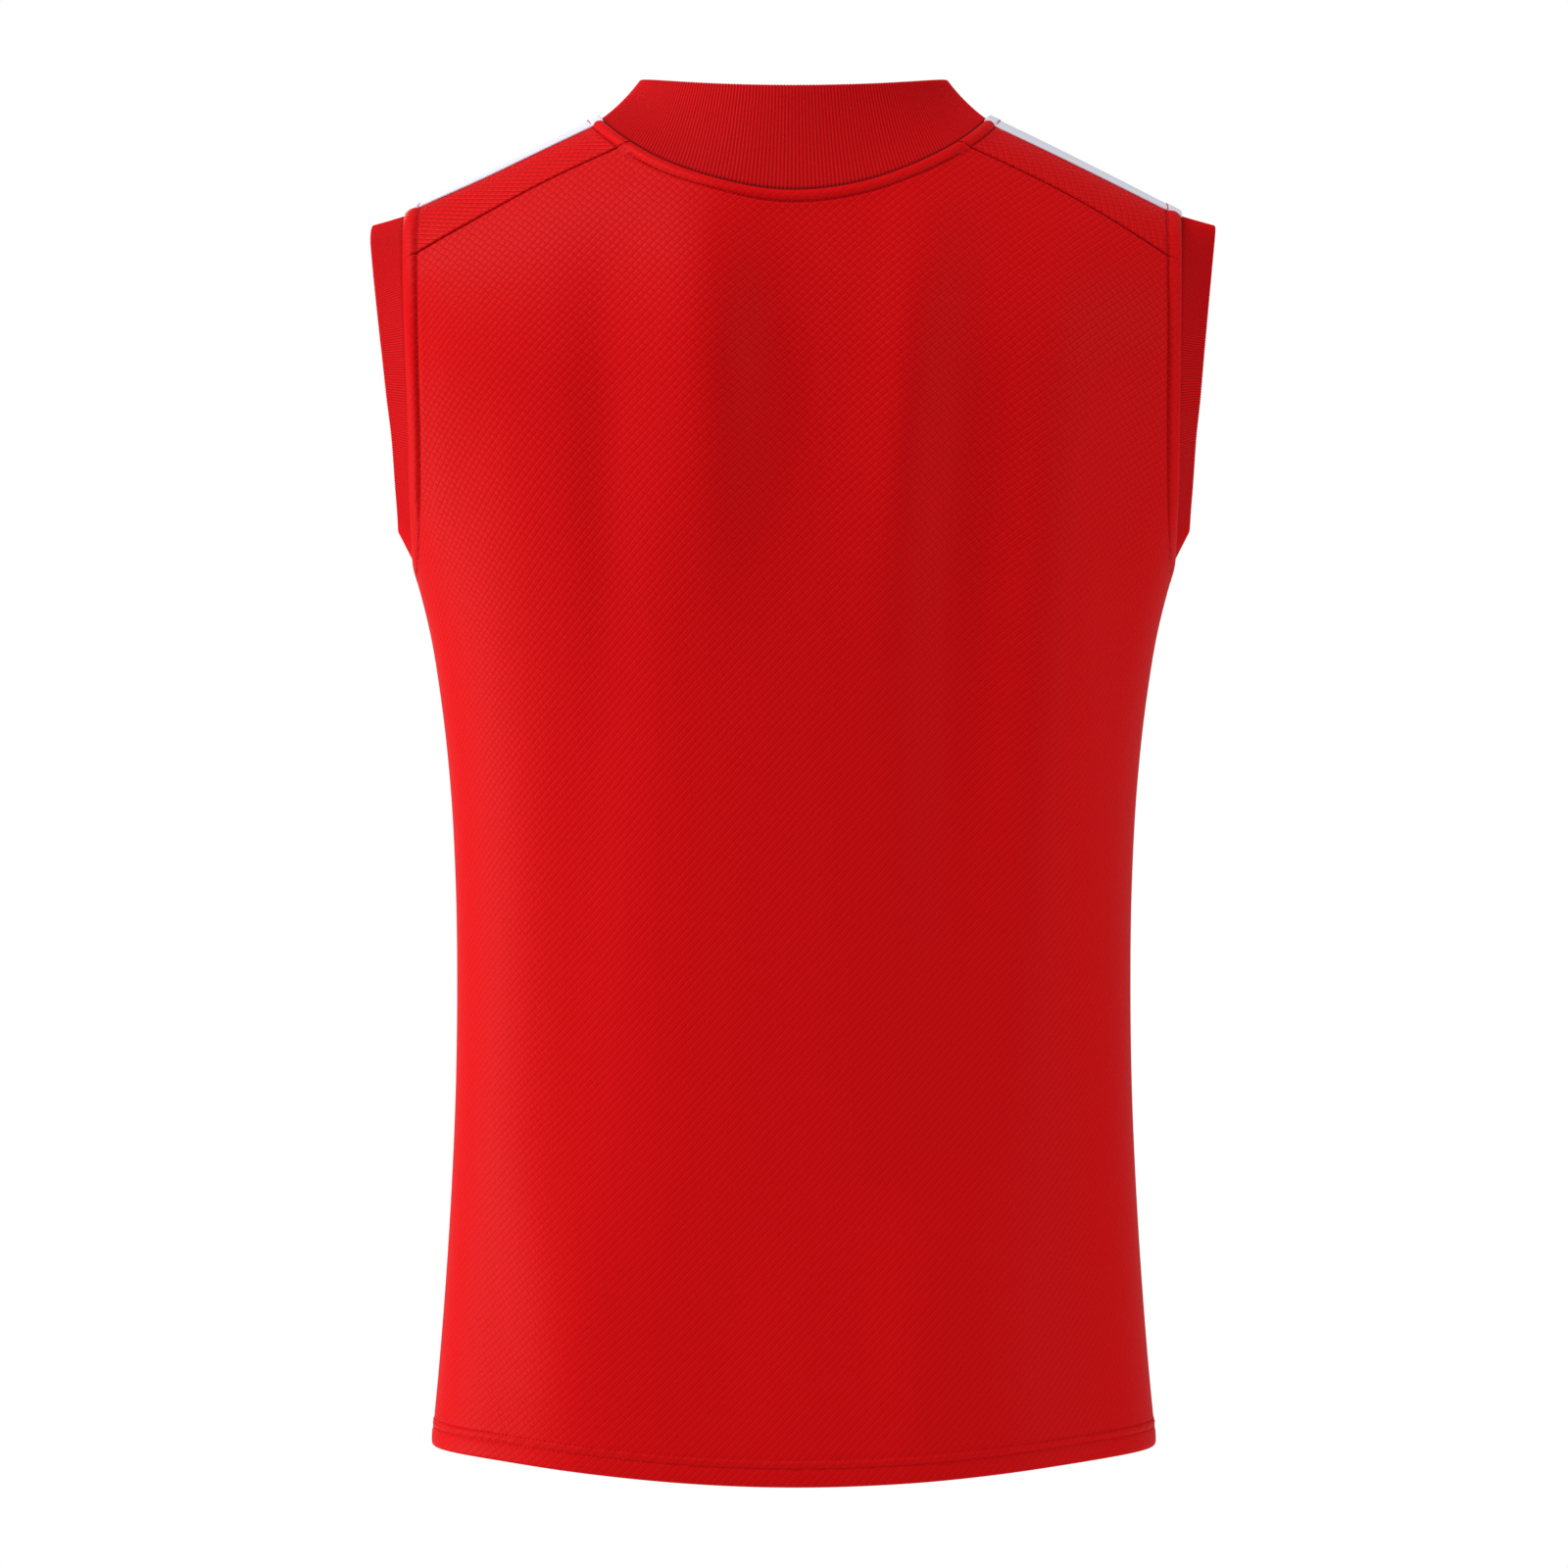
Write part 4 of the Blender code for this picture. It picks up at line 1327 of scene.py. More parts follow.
@dataclass(frozen=True)
class RibFinish:
    """Rib knit: its ribs are in the mesh, and the wales' little loops are bump."""

    name: str = "red_rib_knit"
    colour: Colour = (0.720, 0.0030, 0.0060, 1.0)
    # Painted shade in the grooves between the ribs.
    rib_groove_shade_colour: Colour = (0.340, 0.0009, 0.0020, 1.0)
    # Painted shade at the foot of the ring, by the seam.
    painted_shade_colour: Colour = (0.110, 0.0003, 0.0006, 1.0)
    loop_pitch: float = 0.0011
    loop_height: float = 0.5
    yarn_scale: float = 2400.0
    yarn_height: float = 0.6
    speck: float = 0.5
    relief: float = 0.00012
    lustre: Lustre = Lustre(0.60, 0.05, 0.05, 0.40, (1.0, 0.16, 0.20, 1.0))

    def build(self) -> Material:
        """Builds the material.

        Returns:
            The material, with painted shade between the ribs by the mesh's rib attribute.
        """
        graph = Graph(self.name)
        _, v = graph.cloth_place()
        rib = graph.point_value(RIB_VALUE)
        yarn = graph.noise(self.yarn_scale, 1.0)
        loops = graph.times(graph.wave(v, self.loop_pitch), self.loop_height)
        height = graph.plus(loops, graph.times(yarn, self.yarn_height))
        shade = graph.plus(graph.minus(1.0, rib), graph.swing(yarn, self.speck), clamp=True)
        knitted = graph.mix(shade, self.colour, self.rib_groove_shade_colour)
        colour = graph.painted_shade_in_seams(knitted, self.painted_shade_colour)
        return self.lustre.finish(graph, colour, graph.bump(height, self.relief))


@dataclass(frozen=True)
class TapeFinish:
    """Smooth white knit tape, with fine wales on it and small loops in them."""

    name: str = "white_knit_tape"
    colour: Colour = (0.83, 0.83, 0.93, 1.0)
    shade_colour: Colour = (0.70, 0.70, 0.83, 1.0)
    wale_pitch: float = 0.0009
    wale_height: float = 0.6
    loop_share: float = 0.8
    loop_height: float = 0.4
    groove_shade: float = 0.5
    yarn_scale: float = 1800.0
    speck: float = 0.4
    relief: float = 0.00003
    lustre: Lustre = Lustre(0.60, 0.20, 0.10, 0.35, (1.0, 1.0, 1.0, 1.0))

    def build(self) -> Material:
        """Builds the material.

        Returns:
            The material, with a little painted shade between its wales and loops.
        """
        graph = Graph(self.name)
        u, v = graph.cloth_place()
        wales = graph.wave(v, self.wale_pitch)
        loops = graph.wave(u, self.wale_pitch * self.loop_share)
        height = graph.plus(
            graph.times(wales, self.wale_height), graph.times(loops, self.loop_height)
        )
        yarn = graph.noise(self.yarn_scale, 1.0)
        shade = graph.times(graph.minus(1.0, height), self.groove_shade)
        shade = graph.plus(shade, graph.swing(yarn, self.speck), clamp=True)
        colour = graph.mix(shade, self.colour, self.shade_colour)
        return self.lustre.finish(graph, colour, graph.bump(height, self.relief))


@dataclass(frozen=True)
class ThreadFinish:
    """Shiny red sewing thread with a fine twist."""

    name: str = "red_thread"
    colour: Colour = (0.740, 0.0046, 0.0080, 1.0)
    dark_colour: Colour = (0.560, 0.0024, 0.0044, 1.0)
    twist: Pair = (2400.0, 900.0)
    relief: float = 0.00004
    lustre: Lustre = Lustre(0.45, 0.08, 0.03, 0.30, (1.0, 0.2, 0.2, 1.0))

    def build(self) -> Material:
        """Builds the material, its two reds twisted together along the thread."""
        graph = Graph(self.name)
        u, v = graph.cloth_place()
        twist = graph.plus(graph.times(u, self.twist[0]), graph.times(v, self.twist[1]))
        strand = graph.plus(graph.times(graph.math("SINE", twist), 0.5), 0.5)
        colour = graph.mix(strand, self.colour, self.dark_colour)
        return self.lustre.finish(graph, colour, graph.bump(strand, self.relief))


@dataclass(frozen=True)
class FloorFinish:
    """Pale matt studio floor."""

    name: str = "pale_floor"
    colour: Colour = (0.86, 0.86, 0.86, 1.0)
    shade_colour: Colour = (0.84, 0.84, 0.84, 1.0)
    mottle_scale: float = 3.0
    roughness: float = 0.9

    def build(self) -> Material:
        """Builds the material, with a barely visible mottle."""
        graph = Graph(self.name)
        mottle = graph.noise(self.mottle_scale)
        colour = graph.mix(mottle, self.colour, self.shade_colour)
        graph.feed(graph.shader.inputs["Base Color"], colour)
        graph.shader.inputs["Roughness"].default_value = self.roughness
        return graph.material


@dataclass
class Wardrobe:
    """The finished materials, built once."""

    knit: Material
    rib: Material
    tape: Material
    thread: Material

    @classmethod
    def build(cls) -> "Wardrobe":
        """Builds all the finishes."""
        return cls(
            KnitFinish().build(), RibFinish().build(), TapeFinish().build(), ThreadFinish().build()
        )


# --- Pieces ---
def dress(piece: bpy.types.Object, slot: Slot, *nodes: str) -> None:
    """Ties a piece to the frame.

    Args:
        piece: the piece.
        slot: the record's slot that its finish belongs to; not used.
        nodes: nodes of the frame that it stands for.
    """
    if nodes:
        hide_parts(*nodes)
    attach(piece, "root")
    triangles = 2 * len(piece.data.polygons)
    stands_for = ", ".join(nodes) or "no node"
    log.info("%s: %d triangles, stands for %s", piece.name, triangles, stands_for)


# Distances from a seam or an edge at which rows and columns of points follow the relief.
EDGE_STOPS = (0.0, 0.3, 0.7, 1.2, 1.9, 2.8, 3.8, 4.8, 5.5, 6.1, 6.6, 7.0, 7.5, 8.3, 9.6, 11.5)
SEAM_STOPS = (0.0, 0.35, 0.8, 1.5, 2.4, 3.6, 5.4)
BAND_STOPS = (0.0, 0.25, 0.6, 1.1, 1.8)


@dataclass
class BodyPanel:
    """The back or the front of the jersey, from its neck and yoke seams down to its turned hem."""

    form: JerseyForm
    seams: Seams
    side: Side
    wall: float = 1.2
    chest: float = -150.0
    last_level: float = -700.0
    column_step: float = 3.8
    rows_to_chest: int = 36
    rows_to_underarm: int = 34
    rows_to_last_level: int = 118
    rows_to_hem: int = 4
    upper_power: float = 1.7
    lower_power: float = 1.2
    hem_stops: tuple[float, ...] = (
        23.0, 21.0, 19.0, 17.2, 16.0, 15.2, 14.6, 14.2, 13.8, 13.3, 12.5, 11.7, 10.9, 10.4, 9.9,
        9.3, 8.4, 7.0, 5.2, 3.4, 2.2, 1.3, 0.7, 0.3, 0.0,
    )
    steady_levels: Pair = (-346.0, -204.0)
    edge_pull: float = 6.0
    hung_taut: float = 0.5
    hung_levels: Pair = (230.0, 640.0)
    grain_samples: int = 40
    waist: float = 187.0
    spread_power: float = 0.8
    depth_share: float = 0.4
    droops: Table = (
        (-700.0, -11.0, -5.0),
        (-588.0, -9.0, -3.5),
        (-506.0, -6.9, 0.0),
        (-424.0, -3.3, 2.5),
        (-343.0, -1.0, 4.9),
        (-260.0, 6.5, 8.3),
        (-180.0, 6.5, 9.0),
        (-100.0, 9.0, 8.0),
    )

    def row_rules(self) -> Array:
        """Says how each row's height is made up, from the top edge down to the hem.

        Returns:
            For each row, the weight of the top edge, the weight of the hem, and an offset.
        """
        def rows(top: Array | float, hem: Array | float, offset: Array | float) -> Array:
            """Sets the weights and the offset of some rows side by side."""
            return np.stack(np.broadcast_arrays(top, hem, offset), axis=1)

        under = np.array(EDGE_STOPS)
        top = rows(1.0, 0.0, -under)
        s = np.arange(1, self.rows_to_chest + 1) / self.rows_to_chest
        chest = rows(1 - s, 0.0, s * self.chest - (1 - s) * under[-1])
        underarm = self.form.underarm
        t = np.arange(1, self.rows_to_underarm + 1) / self.rows_to_underarm
        upper = underarm + (self.chest - underarm) * (1 - t) ** self.upper_power
        t = np.arange(1, self.rows_to_last_level + 1) / self.rows_to_last_level
        lower = underarm + (self.last_level - underarm) * t**self.lower_power
        levels = rows(0.0, 0.0, np.concatenate([upper, lower]))
        s = np.arange(1, self.rows_to_hem) / self.rows_to_hem
        over = np.array(self.hem_stops)
        blend = rows(0.0, s, (1 - s) * self.last_level + s * over[0])
        return np.concatenate([top, chest, levels, blend, rows(0.0, 1.0, over)])

    def heights(self, rules: Array, x: Array) -> Array:
        """Works out the rows' heights at places x, given as one row of places for each rule."""
        sign = self.side.value
        parts = (self.form.top_z(x, sign), self.form.hem_z(x, sign), np.ones_like(x))
        return sum(rules[:, i, None] * part for i, part in enumerate(parts))

    def sections(self, rules: Array) -> tuple[Array, Array]:
        """Samples half of each row, from the middle to its side edge.

        Args:
            rules: what row_rules gives.

        Returns:
            The samples' places x, and the length along the row to each.
        """
        edge = np.full((len(rules), 1), self.form.shoulder_tip)
        for _ in range(SETTLING):
            z = self.heights(rules, edge)
            arm, ring = self.form.armhole_x(z), self.form.level(z, "half_width")
            edge = np.where(z > self.form.underarm, arm, ring)
        x = edge * np.sin(np.linspace(0, math.pi / 2, SAMPLES))
        points = self.form.point(x, self.heights(rules, x), self.side.value)
        return x, lengths(points, 1)

    def stops(self, rules: Array, x: Array, length: Array) -> Array:
        """Spaces the columns along each half row.

        One column runs through the neck corner. Near the side the columns keep their distance
        from the edge, and inside they run steadily past the armhole's turn.

        Args:
            rules: what row_rules gives.
            x: the samples' places.
            length: the length along the row to each sample.

        Returns:
            The columns' lengths along each half row.
        """
        edge = self.seams.relief.armhole_stretch * np.array(EDGE_STOPS)
        total = length[:, -1]
        reach = total - edge[-1]
        corner = float(self.form.cut(self.side.value, "yoke_neck"))
        share = float(np.interp(corner, x[0], length[0])) / reach[0]
        inner = int(round(share * reach[0] / self.column_step))
        outer = int(round((1 - share) * reach[0] / self.column_step))
        shares = np.concatenate([
            np.linspace(0, share, inner + 1), np.linspace(share, 1, outer + 1)[1:],
        ])
        level = self.heights(rules, x[:, -1:])[:, 0]
        turning = (level > self.steady_levels[0]) & (level < self.steady_levels[1])
        steady = reach.copy()
        known_levels, known = level[~turning][::-1], reach[~turning][::-1]
        steady[turning] = np.interp(level[turning], known_levels, known)
        inside = shares * steady[:, None] + (reach - steady)[:, None] * shares**self.edge_pull
        return np.concatenate([inside, total[:, None] - edge[-2::-1]], axis=1)

    def grid(self) -> tuple[Array, Array]:
        """Works out the panel's points on the form.

        Returns:
            Rows by columns of points, and each one's place in the cloth.
        """
        rules = self.row_rules()
        x, length = self.sections(rules)
        stops = self.stops(rules, x, length)
        half = np.array([np.interp(*row) for row in zip(stops, length, x)])
        full = np.concatenate([-half[:, :0:-1], half], axis=1)
        points = self.form.point(full, self.heights(rules, full), self.side.value)
        across = np.concatenate([-stops[:, :0:-1], stops], axis=1)
        return points, np.stack([across, -lengths(points[..., 1:])], axis=-1)

    def grain(self, points: Array) -> Array:
        """Lays the knit on the panel.

        Its wales are measured along the level rings and spread where the rings are wider than
        the waist: by (W / waist)^0.8. Its courses are measured down the panel. Their slope is
        c x^2, so that they droop to the armholes and follow the hem's curve, with c read from
        the droops at that height.

        Args:
            points: the panel's points on the form.

        Returns:
            Each point's place in the knit.
        """
        x, y, z = np.moveaxis(points, -1, 0)
        turn = np.sin(np.linspace(0, math.pi / 2, self.grain_samples))[:, None, None]
        around = self.form.ring_depth(turn * np.abs(x), z, self.side.value)
        steps = np.hypot(np.diff(turn, axis=0) * np.abs(x), np.diff(around, axis=0))
        spread = (self.waist / self.form.level(z, "half_width")) ** self.spread_power
        wales = np.sign(x) * steps.sum(axis=0) * spread
        courses = -lengths(np.stack([z, self.depth_share * y], axis=-1))
        chest_row = len(EDGE_STOPS) + self.rows_to_chest - 1
        courses = courses - courses[chest_row]
        levels, left, right = np.array(self.droops).T
        curl = np.where(x > 0, curve_through(levels, left, z), curve_through(levels, right, z))
        return np.stack([wales, courses + curl * MM**2 * np.abs(x) ** 3 / 3], axis=-1)

    def cloth(self) -> tuple[ClothMesh, Pair, float]:
        """Works out the panel's wall, with its relief on the outside.

        Returns:
            The mesh, and the panel's width and length in metres and its area in square metres.
        """
        base, uv = self.grid()
        points, normals = self.form.folded(base, self.side.value)
        hem = HemRelief()
        above = base[..., 2] - self.form.hem_z(base[..., 0], self.side.value)
        from_side = np.abs(uv[:, -1:, 0]) - np.abs(uv[..., 0])
        from_side = np.where(base[..., 2] <= self.form.underarm, from_side, np.inf)
        sewn = self.seams.relief_at(points, from_side)
        height = sewn.height + hem.height(above, uv[..., 0], from_side)
        hung = self.hung_taut * smooth_step(-base[..., 2], *self.hung_levels)
        values = {
            # Painted shade in the seams and in the hem's lower row of stitches.
            PAINTED_SHADE_VALUE: np.maximum(sewn.painted_shade, hem.painted_shade(above)),
            TAUT_VALUE: np.maximum.reduce([sewn.taut, hem.taut(above), hung]),
        }
        depth = np.where(above < hem.wall[-1][0], hem.depth(above), self.wall)
        outer = points + height[..., None] * normals
        inner = points - depth[..., None] * normals
        width, length = np.ptp(uv.reshape(-1, 2), axis=0) * MM
        mesh = wall_mesh(outer, inner, self.grain(base), **values)
        return mesh, (float(width), float(length)), grid_area(points)

    def build(self, wardrobe: Wardrobe) -> None:
        """Builds and dresses the panel.

        Args:
            wardrobe: the finishes.
        """
        node = f"{self.side.name.lower()}_panel"
        cloth, flat, area = self.cloth()
        piece = weave_mesh(f"{node}_knit", cloth, wardrobe.knit)
        dress(piece, Slot.KNIT, node)


@dataclass
class Shoulder:
    """A shoulder panel from neck to armhole over the ridge, and the white band on it."""

    form: JerseyForm
    seams: Seams
    hand: Hand
    wall: float = 1.2
    step: float = 3.2
    across_length: float = 118.0
    arch_length: float = 124.0
    band_edge_neck: float = 0.48
    band_edge_tip: float = 0.34
    band_bed: Pair = (0.3, 0.8)
    band_thickness: float = 1.15
    band_edge_thickness: float = 0.25
    band_edge_roll: float = 2.6
    band_sink: float = 0.1
    band_step: float = 1.6
    grain_angle: float = 4.0
    grain_pull: float = 0.85
    grain_start: float = -330.0
    # Below 0 the knit's lines are deeper than on open cloth, in bump and in painted shade; the
    # left panel's stronger value is painted shade for the light from the left.
    slack_and_painted_shade: Pair = (-1.8, -0.4)

    def surface(self, across: Array, share: Array) -> tuple[Array, Array]:
        """Works out points of the shoulder.

        Args:
            across: share of the way from the neck seam to the armhole seam, as a column.
            share: share of the way from the ridge to the yoke seam, negative in front, in a
                row or a grid.

        Returns:
            Points lifted by the folds, and the form's normals there.
        """
        share = np.broadcast_to(share, np.broadcast_shapes(across.shape, share.shape))
        sign = np.where(share >= 0, 1, -1)
        size = np.abs(share)
        x = np.zeros(share.shape)
        for side in Side:
            edge = (1 - across) * self.form.neck_x_at(size, side)
            edge = edge + across * self.form.armhole_x_at(size, side)
            x = np.where(sign == side.value, edge, x)
        x = x * self.hand.value
        return self.form.folded(self.form.point(x, self.form.arch_z(x, size, sign), sign), sign)

    @staticmethod
    def places(points: Array) -> Array:
        """Measures each point's place in the cloth, from the neck and from the middle.

        Args:
            points: a grid of points, from neck to armhole and from front to back.

        Returns:
            The two lengths of each.
        """
        over = lengths(points, 1)
        middle = over[:, points.shape[1] // 2, None]
        return np.stack([lengths(points), over - middle], axis=-1)

    def panel(self) -> tuple[ClothMesh, Array, Array]:
        """Works out the shoulder panel's wall.

        Returns:
            The mesh, the panel's places in the cloth, and its points.
        """
        stretch = self.seams.relief.armhole_stretch
        across = spaced(self.across_length, self.step, EDGE_STOPS, stretch)[:, None]
        share = 2 * spaced(self.arch_length, self.step, SEAM_STOPS)[None, :] - 1
        points, normals = self.surface(across, share)
        sewn = self.seams.relief_at(points)
        uv = self.places(points)
        outer = points + sewn.height[..., None] * normals
        inner = points - self.wall * normals
        # This deepens the lines' bump and also their painted shade and painted highlight.
        slack_and_painted_shade = self.slack_and_painted_shade[0] if self.hand is Hand.LEFT else self.slack_and_painted_shade[1]
        taut = sewn.taut + slack_and_painted_shade * (1 - np.clip(sewn.taut, 0, 1))
        # Painted shade in the seams, and how smooth the knit lies.
        values = {PAINTED_SHADE_VALUE: sewn.painted_shade, TAUT_VALUE: taut}
        return wall_mesh(outer, inner, self.turned(uv), **values), uv, points

    def turned(self, uv: Array) -> Array:
        """Turns and stretches the cloth's grain, which lies aslant on the shoulder.

        The left panel is cut further down the cloth, where one set of its lines is faint.

        Args:
            uv: places in the panel.

        Returns:
            Places in the knit.
        """
        angle = math.radians(self.grain_angle)
        u, v = self.grain_pull * self.hand.value * uv[..., 0], self.grain_pull * uv[..., 1]
        start = self.grain_start if self.hand is Hand.LEFT else 0.0
        return np.stack([
            u * math.cos(angle) - v * math.sin(angle),
            u * math.sin(angle) + v * math.cos(angle) + start,
        ], axis=-1)

    def band_edge(self, across: Array) -> Array:
        """Gives the share of the way to the yoke seam at which the white band ends."""
        return self.band_edge_neck + (self.band_edge_tip - self.band_edge_neck) * across**2

    def band(self) -> tuple[ClothMesh, Array, Array]:
        """Works out the white band's wall, thinner towards its two long edges.

        Returns:
            The mesh, the band's places in the cloth, and its points.
        """
        stretch = self.seams.relief.armhole_stretch
        across = spaced(self.across_length, self.step, EDGE_STOPS, stretch)[:, None]
        width = self.band_edge_neck * self.arch_length
        share = 2 * spaced(width, self.band_step, BAND_STOPS)[None, :] - 1
        points, normals = self.surface(across, share * self.band_edge(across))
        uv = self.places(points)
        under = np.clip(self.seams.relief_at(points).height, *self.band_bed)
        from_edge = (1 - np.abs(share)) * width / 2
        inward = np.clip(from_edge / self.band_edge_roll, 0, 1)
        rounded = np.sqrt(np.clip(1 - (1 - inward) ** 2, 0, 1))
        rise = self.band_edge_thickness
        rise = rise + (self.band_thickness - rise) * rounded
        outer = points + (under + rise)[..., None] * normals
        inner = points + (under - self.band_sink)[..., None] * normals
        return wall_mesh(outer, inner, uv), uv, points

    def build(self, wardrobe: Wardrobe) -> None:
        """Builds and dresses the shoulder panel and its band.

        Args:
            wardrobe: the finishes.
        """
        hand = self.hand.name.lower()
        kinds = (
            ("panel", self.panel, wardrobe.knit, Slot.KNIT, "knit"),
            ("band", self.band, wardrobe.tape, Slot.TAPE, "tape"),
        )
        for kind, shape, finish, slot, cloth_name in kinds:
            node = f"shoulder_{kind}_{hand}"
            cloth, uv, points = shape()
            piece = weave_mesh(f"{node}_{cloth_name}", cloth, finish)
            dress(piece, slot, node)


@dataclass
class RibPiece:
    """A closed ring of double rib knit that grows from a seam and is folded at its free edge."""

    form: JerseyForm
    ribs: int
    samples: int
    rib_height: float = 0.42
    inner_rib_height: float = 0.22
    rib_power: float = 0.8
    wall: float = 1.9
    sink: float = 1.45
    tuck: float = 2.2
    tuck_depth: float = 0.35
    seam_rows: tuple[float, ...] = (0.0, 0.012, 0.03, 0.06)
    # Painted shade beside the seam: the distances over which it fades out, then how dark it is.
    seam_shadow: Pair = (1.3, 2.8)
    seam_shadow_strength: float = 0.85
    rise_rows: int = 13
    fold_rows: int = 5
    inner_rows: int = 9
    sharp: float = 80.0

    @property
    def stations(self) -> int:
        """Number of points round the ring."""
        return self.ribs * self.samples

    def rib_wave(self) -> Array:
        """Gives each station's height on its rib, from 0 in the groove to 1 on the crest."""
        turn = 2 * math.pi * np.arange(self.stations) / self.samples
        return (0.5 + 0.5 * np.cos(turn)) ** self.rib_power

    def rises(self) -> Array:
        """Gives the rows' shares of the way from the seam to the free edge."""
        close = np.array(self.seam_rows)
        return np.concatenate([close, np.linspace(close[-1], 1, self.rise_rows)[1:]])

    def section(self, loop: Loop, path: Array) -> tuple[Array, Array]:
        """Carries the ring's section along: out along the path, round the fold and back inside.

        Args:
            loop: the seam.
            path: rows by stations of points, from under the seam to the free edge.

        Returns:
            The closed section's points, and each station's rib height.
        """
        round_way = np.roll(path, -1, axis=1) - np.roll(path, 1, axis=1)
        normals = unit(np.cross(round_way, np.gradient(path, axis=0)))
        facing = np.sign(np.sum(normals[-1] * loop.normals, axis=-1).mean())
        normals = normals * facing
        wave = self.rib_wave()
        outside = path + (self.rib_height * wave)[:, None] * normals
        radius = self.wall / 2
        edge, edge_normal = path[-1], normals[-1]
        out = unit(path[-1] - path[-2])
        turns = np.linspace(0, math.pi, self.fold_rows + 2)[1:-1]
        fold = np.stack([
            edge - radius * edge_normal
            + (radius + self.rib_height * wave * math.cos(turn / 2) ** 2)[:, None]
            * (math.cos(turn) * edge_normal + math.sin(turn) * out)
            for turn in turns
        ])
        keep = np.round(np.linspace(len(path) - 1, 0, self.inner_rows)).astype(int)
        inner_rise = (self.inner_rib_height * wave)[:, None]
        inside = path[keep] - (self.wall + inner_rise) * normals[keep]
        return np.concatenate([outside, fold, inside]), wave

    def cloth(self, loop: Loop, path: Array) -> tuple[ClothMesh, float, float]:
        """Closes the section into a ring.

        Args:
            loop: the seam.
            path: rows by stations of points, from under the seam to the free edge.

        Returns:
            The mesh, and the ring's mean length round and its width in metres.
        """
        section, wave = self.section(loop, path)
        rows, columns = section.shape[:2]
        faces, corner_rows, corner_columns = lattice(rows, columns, True, True)
        u, v = lengths(closed(loop.points)), lengths(closed(section[:, 0]))
        corner_uv = np.stack([u[corner_columns], v[corner_rows]], axis=-1)
        from_seam = np.linalg.norm(section - section[1], axis=-1)
        outside = np.arange(rows)[:, None] < len(path)
        # Painted shade on the outside, fading away from the seam.
        shadow = self.seam_shadow_strength * (1 - smooth_step(from_seam, *self.seam_shadow))
        values = {
            RIB_VALUE: np.broadcast_to(wave, (rows, columns)),
            PAINTED_SHADE_VALUE: np.where(outside, shadow, 0.0),
        }
        rings = np.linalg.norm(np.roll(path[2:], -1, axis=1) - path[2:], axis=2).sum(axis=1)
        width = np.linalg.norm(np.diff(path[1:], axis=0), axis=2).sum(axis=0).mean()
        mesh = ClothMesh(section.reshape(-1, 3), faces, corner_uv, values)
        return mesh, float(rings.mean()) * MM, float(width) * MM

    def seam_row(self, loop: Loop) -> Array:
        """Gives the row at the seam, under the panels' edges."""
        return loop.points - self.sink * loop.normals

    def tucked_row(self, loop: Loop) -> Array:
        """Gives the row that lies hidden under the panels, a little way from the seam."""
        depth = self.sink + self.tuck_depth
        return loop.points + self.tuck * loop.away() - depth * loop.normals

    def finish(self, name: str, loop: Loop, rise: Array, wardrobe: Wardrobe) -> None:
        """Makes and dresses the piece.

        Args:
            name: the node that it stands for.
            loop: the seam.
            rise: rows by stations of points, from the seam to the free edge.
            wardrobe: the finishes.
        """
        path = np.concatenate([self.tucked_row(loop)[None], rise])
        cloth, around, width = self.cloth(loop, path)
        piece = weave_mesh(f"{name}_rib", cloth, wardrobe.rib, self.sharp)
        dress(piece, Slot.RIB, name)


@dataclass
class Collar(RibPiece):
    """The stand-up rib collar. It flares out of the neck seam and narrows to its top edge."""

    ribs: int = 320
    samples: int = 5
    top_half_width: float = 85.8
    top_centre: float = -16.0
    top_back: float = 80.0
    top_front: float = 57.0
    side_height: float = 21.7
    back_height: float = 9.4
    back_power: float = 1.43
    front_height: float = -39.0
    front_power: float = 1.8
    bend: Triple = (0.56, 0.56, 0.42)
    evening: int = 14

    def station_angles(self, loop: Loop) -> Array:
        """Gives each station's angle round the neck, evened out so that none coincide.

        The angle is that of the place x on a circle as wide as the neck. Its difference from
        an even turn is averaged over the nearest stations, weighted by a raised cosine.

        Args:
            loop: the neck seam.

        Returns:
            The angles, from 0 at the middle of the back.
        """
        sine = np.clip(loop.points[:, 0] / self.form.neck_half_width, -1, 1)
        cosine = np.where(loop.sign > 0, 1, -1) * np.sqrt(1 - sine**2)
        angle = np.unwrap(np.arctan2(sine, cosine))
        count = len(angle)
        way = np.sign(angle[-1] - angle[0])
        even = way * 2 * math.pi * np.arange(count) / count
        reach = np.arange(-self.evening, self.evening + 1)
        weights = np.cos(0.5 * math.pi * reach / (self.evening + 1)) ** 2
        uneven = sum(
            weight * np.roll(angle - even, shift) for weight, shift in zip(weights, reach)
        )
        return even + uneven / weights.sum()

    def top_edge(self, loop: Loop) -> Array:
        """Works out the top edge: an oval, lowest in front, that keeps the stations' places.

        Args:
            loop: the neck seam.

        Returns:
            A point for each station.
        """
        angle = self.station_angles(loop)
        sine, cosine = np.sin(angle), np.abs(np.cos(angle))
        behind = np.cos(angle) > 0
        depth = np.where(behind, self.top_back, -self.top_front)
        to_back = (self.back_height - self.side_height) * cosine**self.back_power
        to_front = (self.front_height - self.side_height) * cosine**self.front_power
        return np.stack([
            self.top_half_width * sine,
            self.top_centre + depth * cosine,
            self.side_height + np.where(behind, to_back, to_front),
        ], axis=-1)

    def build(self, wardrobe: Wardrobe) -> None:
        """Builds and dresses the collar. At each station its wall is a quadratic curve.

        Args:
            wardrobe: the finishes.
        """
        loop = Loop.on_seam(self.form, self.form.neck_loop(), self.stations)
        seam, top = self.seam_row(loop), self.top_edge(loop)
        bend = seam + (top - seam) * np.array(self.bend)
        t = self.rises()[:, None, None]
        rise = (1 - t) ** 2 * seam + 2 * t * (1 - t) * bend + t**2 * top
        self.finish("collar", loop, rise, wardrobe)


